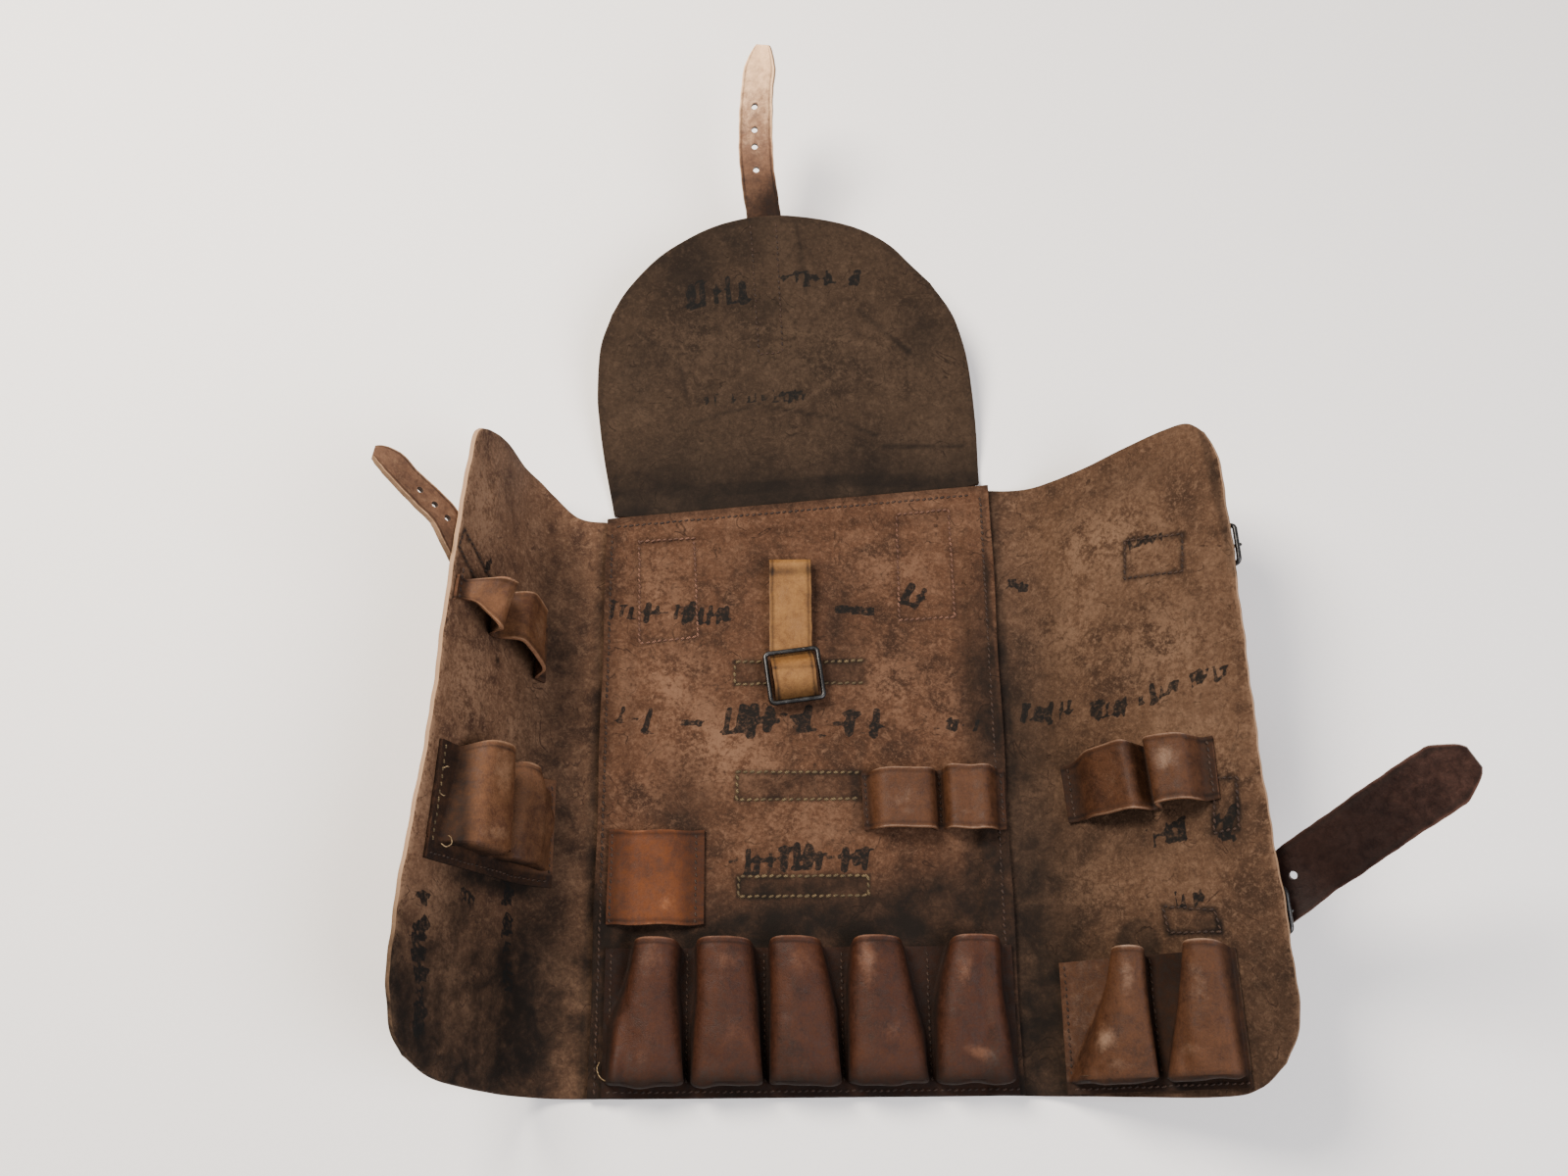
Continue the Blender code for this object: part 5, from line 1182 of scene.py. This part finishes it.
right_strap = ribbon("dark_waxed_strap", centres, sides, 36.0, STRAP_THICK, DARK_STRAP_HIDE, DARK_STRAP_HIDE,
                     DARK_EDGE, 130, (0.36, 17.0), {"worn": lambda run, w: 0.35 * ease(170, 250, run)},
                     (-0.5, -0.3, 0.8))
punch(right_strap, [centres[8] - np.array([8.5, 4.0, 6.8])], (-0.52, -0.3, 0.8), 2.3)
smooth(right_strap)
belongs(right_strap, ["right_strap"])

# %% Tan tab
FRAME_TURN = math.radians(7.3)
TAB_PATH = [(-6.0, 104, 1.85), (-6.0, 122, 1.85), (-6.0, 138.2, 1.9), (-6.0, 141.4, 2.9), (-6.0, 142.4, 5.0),
            (-6.0, 140.8, 6.9), (-6.0, 137.4, 7.4), (-6.0, 118, 6.4), (-6.0, 98, 5.0), (-6.1, 84, 4.1),
            (-5.7, 78.6, 4.2), (-5.3, 75.8, 6.6), (-4.7, 72, 11.0), (-4.0, 66, 13.0), (-3.4, 60.5, 12.8),
            (-2.9, 56.0, 11.0), (-2.5, 53.0, 7.8), (-2.4, 51.9, 4.4), (-2.5, 52.6, 2.4), (-2.8, 57.0, 1.9)]
centres = [on_panel(x, y, n) / MM for x, y, n in TAB_PATH]
sides = []
for tab_y in [point[1] for point in TAB_PATH]:
    share = FRAME_TURN * (1.0 - float(ease(84.0, 112.0, tab_y)))
    sides.append(np.array([math.cos(share), math.sin(share), 0.0]))
# The tab's darker sides, the creases across its roll and the roll's lower end are painted shade.
tab_shade_and_wear = {"grime_and_shade": lambda run, w: total(0.55 * (1 - ease(0, 5, np.abs(run - 49))),
                                          0.3 * ease(9, 13, np.abs(w)), 0.5 * ease(124, 134, run),
                                          0.35 * (1 - ease(0, 8, np.abs(run - 106))),
                                          0.4 * (1 - ease(0, 2, np.abs(run - 119 - 0.08 * w)))),
            "worn": lambda run, w: total(0.6 * (1 - ease(0, 18, np.hypot(run - 84, 1.6 * w - 6))),
                                         0.5 * (1 - ease(0, 12, np.hypot(run - 64, 2 * w + 8))))}
tab = ribbon("tan_tab", centres, sides, 26.6, STRAP_THICK, TAB_HIDE, TAB_HIDE, TAB_HIDE, 150, None, tab_shade_and_wear)
smooth(tab)
belongs(tab, ["tab_strap"])

# %% [markdown]
# ## Wire slide and buckles
#
# Each is one length of steel wire bent to a frame with round corners, its ends butted and brazed. A closed
# tube is made from a grid that is wrapped round the path and merged where it meets itself.

# %% Wire
WIRE_RADIUS = 1.5


def tube(name, path, radius, closed, nodes, around=14, material=BLACK_WIRE):
    """Wrap a grid round a path (mm); radius may vary along it. Closed paths meet their own start."""
    pts = np.array(path, dtype=float)
    if closed:
        pts = np.vstack([pts, pts[:1]])
        along = np.roll(pts[:-1], -1, axis=0) - np.roll(pts[:-1], 1, axis=0)
        along = np.vstack([along, along[:1]])
    else:
        along = np.gradient(pts, axis=0)
    along = along / np.linalg.norm(along, axis=1)[:, None]
    outward = pts - pts.mean(axis=0) if closed else np.cross(along, np.array([0.0, 1.0, 0.2]))
    outward = outward - along * (outward * along).sum(axis=1)[:, None]
    outward = outward / np.linalg.norm(outward, axis=1)[:, None]
    other = np.cross(along, outward)
    turn = np.linspace(0, 2 * math.pi, around + 1)[None, :, None]
    width = np.broadcast_to(np.asarray(radius, dtype=float), (len(pts),))[:, None, None]
    points = pts[:, None] + width * (np.cos(turn) * outward[:, None] + np.sin(turn) * other[:, None])
    piece = lay(name, points * MM)
    pick(piece)
    bpy.ops.object.mode_set(mode="EDIT")
    bpy.ops.mesh.select_all(action="SELECT")
    bpy.ops.mesh.remove_doubles(threshold=0.00001)
    bpy.ops.mesh.normals_make_consistent(inside=False)
    bpy.ops.object.mode_set(mode="OBJECT")
    piece.data.materials.append(material)
    smooth(piece, 60.0)
    return belongs(piece, nodes)


def rounded_rectangle(half_a, half_b, corner):
    """Loop of (a, b) points round a rectangle, close together in the corners."""
    loop = []
    for a, b, start in ((half_a - corner, half_b - corner, 0), (-half_a + corner, half_b - corner, 90),
                        (-half_a + corner, -half_b + corner, 180), (half_a - corner, -half_b + corner, 270)):
        arc = [(a + corner * math.cos(math.radians(start + t)), b + corner * math.sin(math.radians(start + t)))
               for t in range(0, 91, 15)]
        loop += arc
    dense = []
    for (a0, b0), (a1, b1) in zip(loop, loop[1:] + loop[:1]):
        count = max(int(math.hypot(a1 - a0, b1 - b0) / 2.5), 1)
        dense += [(lerp(a0, a1, k / count), lerp(b0, b1, k / count)) for k in range(count)]
    return dense


SLIDE_WIDE, SLIDE_LONG, SLIDE_MIDDLE, SLIDE_HEIGHTS = 33.2, 32.4, (-4.0, 65.15), (6.7, 7.35)
slide_path = []
for a, b in rounded_rectangle(SLIDE_WIDE / 2, SLIDE_LONG / 2, 2.6):
    x = SLIDE_MIDDLE[0] + a * math.cos(FRAME_TURN) - b * math.sin(FRAME_TURN)
    y = SLIDE_MIDDLE[1] + a * math.sin(FRAME_TURN) + b * math.cos(FRAME_TURN)
    slide_path.append(on_panel(x, y, lerp(*SLIDE_HEIGHTS, (b + SLIDE_LONG / 2) / SLIDE_LONG)) / MM)
tube("wire_slide", slide_path, WIRE_RADIUS, True, ["slide_frame"])

# %% Buckles with their chapes and prongs
BAR_IN, BAR_OUT, BUCKLE_DEPTH, CHAPE_THICK, PRONG_RADIUS = 138.5, 161.0, -7.8, 2.2, 1.1


for label, middle in (("upper", 119.0), ("lower", -93.8)):
    loop = rounded_rectangle((BAR_OUT - BAR_IN) / 2, 13.3 - WIRE_RADIUS, 3.0)
    frame_path = [on_right((BAR_IN + BAR_OUT) / 2 + a, middle + b, BUCKLE_DEPTH) / MM for a, b in loop]
    tube(f"{label}_buckle_frame", frame_path, WIRE_RADIUS, True, [f"{label}_buckle"])
    near = -BODY_THICK - SEWN_GAP - CHAPE_THICK / 2
    far, reach = 2 * BUCKLE_DEPTH - near, near - BUCKLE_DEPTH
    fold = [(92.0, near), (115.0, near)]
    fold += [(BAR_IN + reach * math.cos(math.radians(t)), BUCKLE_DEPTH + reach * math.sin(math.radians(t)))
             for t in (90, 60, 30, 0, -30, -60, -90)]
    fold += [(115.0, far), (102.0, far)]
    chape = ribbon(f"{label}_buckle_chape", [on_right(s, middle, n) / MM for s, n in fold],
                   [(on_right(s, middle + 8, n) - on_right(s, middle - 8, n)) / MM for s, n in fold], 20.0,
                   CHAPE_THICK, STRAP_HIDE, STRAP_HIDE, RAW_EDGE, 90)
    smooth(chape)
    belongs(chape, [f"{label}_chape"])
    start = BAR_IN + reach + CHAPE_THICK / 2 + SEWN_GAP + 0.2
    lift = BUCKLE_DEPTH - WIRE_RADIUS - SEWN_GAP - PRONG_RADIUS
    prong = soft_curve([(start, BUCKLE_DEPTH - 0.5), (start + 4, BUCKLE_DEPTH - 1.6), (BAR_OUT - 4, lift),
                        (BAR_OUT + 1.8, lift)], 24)
    ends = PRONG_RADIUS * np.sqrt(np.clip(1 - np.clip(np.abs(np.linspace(-1, 1, 24)) * 9 - 8, 0, 0.999) ** 2, 0, 1))
    prong_path = [on_right(s, middle, n) / MM for s, n in prong]
    tube(f"{label}_buckle_prong", prong_path, ends, False, [f"{label}_prong"], 12)

# %% [markdown]
# ## Stitches
#
# The roll is saddle-stitched by hand with waxed linen, about four millimetres a stitch. One stitch is
# modelled once as a small capsule with sunken ends. Copies are then set along each seam, with a slight tilt
# and a slightly different length for each, as an awl leaves them.

# %% Sew along a seam
bpy.ops.object.select_all(action="DESELECT")
bpy.ops.mesh.primitive_uv_sphere_add(segments=6, ring_count=5, radius=1.0, rotation=(0, math.pi / 2, 0))
model = bpy.context.active_object
bpy.ops.object.transform_apply(location=False, rotation=True, scale=False)
stitch_points = np.array([tuple(vertex.co) for vertex in model.data.vertices])
stitch_faces = [tuple(face.vertices) for face in model.data.polygons]
bpy.data.objects.remove(model, do_unlink=True)
stitch_points[:, 0] = np.sign(stitch_points[:, 0]) * np.abs(stitch_points[:, 0]) ** 0.6
stitch_points[:, 2] -= 0.9 * stitch_points[:, 0] ** 4


def sew(name, runs, thread, pitch=4.0, length=3.5, width=1.6):
    """Set stitches along runs; each run is (surface, points on the sheet in mm, height above it)."""
    vertices, faces, count = [], [], 0
    for surface, path, height in runs:
        path = np.array(path, dtype=float)
        steps = np.linalg.norm(np.diff(path, axis=0), axis=1)
        run = np.concatenate([[0.0], np.cumsum(steps)])
        stops = np.arange(pitch / 2, run[-1], pitch)
        a, b = np.interp(stops, run, path[:, 0]), np.interp(stops, run, path[:, 1])
        a2, b2 = np.interp(stops + 0.5, run, path[:, 0]), np.interp(stops + 0.5, run, path[:, 1])
        a1, b1 = np.interp(stops - 0.5, run, path[:, 0]), np.interp(stops - 0.5, run, path[:, 1])
        # A height below the sheet means its outer face, where stitches point the other way.
        outward = 1 if height > -1 else -1
        middle = surface(a, b, height)
        ahead = surface(a2, b2, height) - surface(a1, b1, height)
        up = surface(a, b, height + 1.0) - middle
        for point, forward, normal in zip(middle, ahead, up):
            forward, normal = Vector(forward).normalized(), Vector(normal).normalized() * outward
            side = normal.cross(forward).normalized()
            tilt = math.radians(random.uniform(8, 24))
            forward, side = (forward * math.cos(tilt) + side * math.sin(tilt),
                             side * math.cos(tilt) - forward * math.sin(tilt))
            size = (length * random.uniform(0.82, 1.08) / 2 * MM, width * random.uniform(0.42, 0.55) * MM,
                    0.4 * width * random.uniform(0.8, 1.15) * MM)
            point = point + np.array(side) * random.uniform(-0.22, 0.22) * MM
            local = stitch_points * size
            world = (np.array(point) + local[:, :1] * np.array(forward) + local[:, 1:2] * np.array(side)
                     + (local[:, 2:] + 0.12 * MM) * np.array(normal))
            faces += [tuple(k + len(vertices) for k in face) for face in stitch_faces]
            vertices += [tuple(p) for p in world]
            count += 1
    mesh = bpy.data.meshes.new(name)
    mesh.from_pydata(vertices, [], faces)
    mesh.materials.append(thread)
    mesh.polygons.foreach_set("use_smooth", [True] * len(mesh.polygons))
    piece = bpy.data.objects.new(name, mesh)
    bpy.context.collection.objects.link(piece)
    print(name, count, "stitches")
    return belongs(piece, [])


def seams(surface, height, *paths):
    """Runs of stitches on one surface and at one height, one for each path."""
    return [(surface, path, height) for path in paths]


def box(*corners):
    return [*corners, corners[0]]


# %% Seams of the big sheets
WING_TOP = SEWN_TOP + SEWN_GAP
top_seam = [(x, float(panel_top(x)) - 6.5) for x in range(-119, 119, 7)]
STRAP_SEAMS = [(-17, 100), (-14.5, 186)], [(-1, 100), (2.5, 187)], [(-17, 100), (-1, 100)]
sew("panel_edge_stitches",
    seams(on_panel, 0, [(-121.3, -184), (-121.3, 166)], [(118.9, -184), (118.9, 187)], top_seam),
    DARK_THREAD)
sew("panel_outline_stitches", seams(on_panel, 0, *PANEL_BOXES), BROWN_THREAD, 3.7, 3.5, 1.7)
sew("panel_strip_stitches", seams(on_panel, 0, *PANEL_STRIPS), OLIVE_THREAD, 4.3, 3.9, 2.0)
sew("wing_outline_stitches", seams(on_right, 0, *RIGHT_BOXES) + seams(on_left, 0, *LEFT_BOXES), DARK_THREAD,
    3.8, 3.4, 1.5)
sew("flap_strap_stitches", seams(on_flap, 0, *STRAP_SEAMS), DARK_THREAD, 3.8, 3.0, 1.2)

# %% Seams of pockets, loops and patch
LEFT_POCKET_SEAMS = [(29.5, -4), (29.5, -60)], [(30, -62.5), (138, -62.5)]
LEFT_EDGE_SEAM = [(137.5, -2), (137.5, -58)]
RIGHT_POCKET_SEAMS = [(29.5, -114), (29.5, -182)], [(82, -114), (82, -176)], [(30, -183.4), (130, -183.4)]
RIGHT_LOOP_SEAMS = [(41, 2), (43.5, -29)], [(93.8, 5), (96.2, -29)], [(131.5, 4), (131.5, -28)]
sew("pocket_stitches",
    seams(on_panel, SEWN_TOP, *[[(x, -104), (x, -178)] for x in (-113.5, -68.8, -23.5, 21.8, 72.3)],
          [(-115, -182.6), (121, -182.6)]), DARK_THREAD, 3.9, 3.0, 1.3)
sew("right_pocket_stitches", seams(on_right, WING_TOP, *RIGHT_POCKET_SEAMS), DARK_THREAD,
    3.9, 3.0, 1.3)
sew("left_pocket_stitches", seams(on_left, WING_TOP, *LEFT_POCKET_SEAMS), DARK_THREAD,
    3.9, 3.0, 1.3)
sew("left_pocket_edge_stitches", seams(on_left, WING_TOP, LEFT_EDGE_SEAM), OLIVE_THREAD,
    4.2, 3.0, 1.3)
sew("loop_stitches",
    seams(on_panel, SEWN_TOP, [(38.6, 2), (39.4, -30)], [(84, 2), (84.4, -31)], [(121.4, 2), (121.4, -31)])
    + seams(on_right, WING_TOP, *RIGHT_LOOP_SEAMS)
    + seams(on_left, WING_TOP, [(41.5, 95), (41.5, 63)], [(141.8, 100), (142.8, 82)]),
    DARK_THREAD, 3.9, 3.2, 1.6)
sew("patch_stitches", seams(on_panel, SEWN_TOP, [(-64.5, -33), (-64.5, -86)], [(-115, -33), (-115.4, -86)]),
    DARK_THREAD, 3.9, 3.0, 1.3)

# %% The same seams on the outside
OUTER = -BODY_THICK - 0.05
CHAPE_FACE = 2 * BUCKLE_DEPTH + BODY_THICK + SEWN_GAP - 0.05
LEFT_STRAP_FACE, FLAP_STRAP_FACE = OUTER - 3.85, OUTER - 3.65
sew("outer_wing_stitches",
    seams(on_right, OUTER, RIGHT_POCKET_SEAMS[0], [(82, -140), (82, -176)], RIGHT_POCKET_SEAMS[2],
          *RIGHT_LOOP_SEAMS)
    + seams(on_right, CHAPE_FACE, box((103.5, 126), (113.5, 126), (113.5, 112), (103.5, 112)),
            box((103.5, -87), (113.5, -87), (113.5, -101), (103.5, -101)))
    + seams(on_left, OUTER, *LEFT_POCKET_SEAMS, LEFT_EDGE_SEAM, [(41.5, 95), (41.5, 63)])
    + seams(on_left, LEFT_STRAP_FACE, box((97, 104.5), (139, 121.5), (143, 111.5), (101, 92.5))),
    DARK_THREAD, 4.0, 3.3, 1.3)
sew("outer_flap_stitches", seams(on_flap, FLAP_STRAP_FACE, *STRAP_SEAMS), DARK_THREAD,
    3.9, 3.2, 1.3)

# %% [markdown]
# ## Thread ends
#
# Where a seam has broken, the end of its thread stands up and curls. Each end is a thin tube along a short
# curved line, a little thicker than a stitch is deep, and rests on the leather at its root.

# %% Loose thread ends
for k, (surface, path) in enumerate([
        (on_left, [(129, -52, 3.0), (129.5, -53, 8), (130, -57, 10), (132, -59, 8), (134, -57.5, 6)]),
        (on_left, [(137, -16, 2.6), (135.5, -15, 3.8), (133.5, -14.8, 3.4)]),
        (on_left, [(137, -30, 2.6), (135.4, -31.2, 3.8), (133.2, -30.6, 3.2)]),
        (on_panel, [(-118.5, -166, 2.9), (-119.5, -170, 4.2), (-117, -175, 3.8), (-111, -177.5, 4.2)])]):
    curl = soft_curve(path, 28)
    tube(f"thread_end_{k + 1}", surface(*curl.T) / MM, 0.3, False, [], 8, PALE_THREAD)

# %% [markdown]
# ## Camera, floor and light
#
# The camera stands where the photograph was taken: nearly above the roll and a little toward its pocket
# end. The floor is a pale sweep. One large soft lamp from the upper left gives the shadows to the right
# of the pockets, and a broad one from the lower right keeps the folds readable.

# %% Camera
view = bpy.data.cameras.new("photo_camera")
view.lens, view.sensor_width, view.sensor_fit = 36.0, 36.0, "HORIZONTAL"
view.clip_start = 0.01
camera = bpy.data.objects.new("photo_camera", view)
camera.location = (-0.0103, -0.2297, 0.9471)
camera.rotation_euler = (0.360588, 0.00285834, -0.00842494)
bpy.context.collection.objects.link(camera)
bpy.context.scene.camera = camera

# %% Floor
bpy.ops.object.select_all(action="DESELECT")
bpy.ops.mesh.primitive_grid_add(x_subdivisions=8, y_subdivisions=8, size=6.0)
floor = bpy.context.active_object
floor.name = floor.data.name = "floor"
paper, paper_tree, paper_coords = start_material("matt_white_paper", Roughness=0.9)
fibres = add(paper_tree, "TexNoise", {"Vector": paper_coords, "Scale": per_mm(3.0), "Detail": 4.0,
                                      "Roughness": 0.55})
shade = add(paper_tree, "Mix", {0: fibres, 6: "#f3f2f0", 7: "#f8f7f5"}, MIXED, **COLOURS)
paper_tree.links.new(shade, paper_tree.nodes["Principled BSDF"].inputs["Base Color"])
floor.data.materials.append(paper)

# %% Light
def soft_lamp(name, place, aim, size, power, colour):
    lamp = bpy.data.lights.new(name, "AREA")
    lamp.shape, lamp.size, lamp.energy = "DISK", size, power
    lamp.color = linear(colour)[:3]
    item = bpy.data.objects.new(name, lamp)
    item.location = place
    item.rotation_euler = (Vector(aim) - Vector(place)).to_track_quat("-Z", "Y").to_euler()
    bpy.context.collection.objects.link(item)


soft_lamp("window", (-0.8, 0.75, 1.3), (0.0, 0.05, 0.05), 0.8, 60.0, "#fff3e6")
soft_lamp("fill", (1.35, -0.75, 1.75), (0.0, 0.0, 0.0), 1.5, 62.0, "#fdfaff")
world = bpy.data.worlds.new("studio")
world.use_nodes = True
world.node_tree.nodes["Background"].inputs["Color"].default_value = linear("#e6e4e2")
world.node_tree.nodes["Background"].inputs["Strength"].default_value = 0.45
bpy.context.scene.world = world
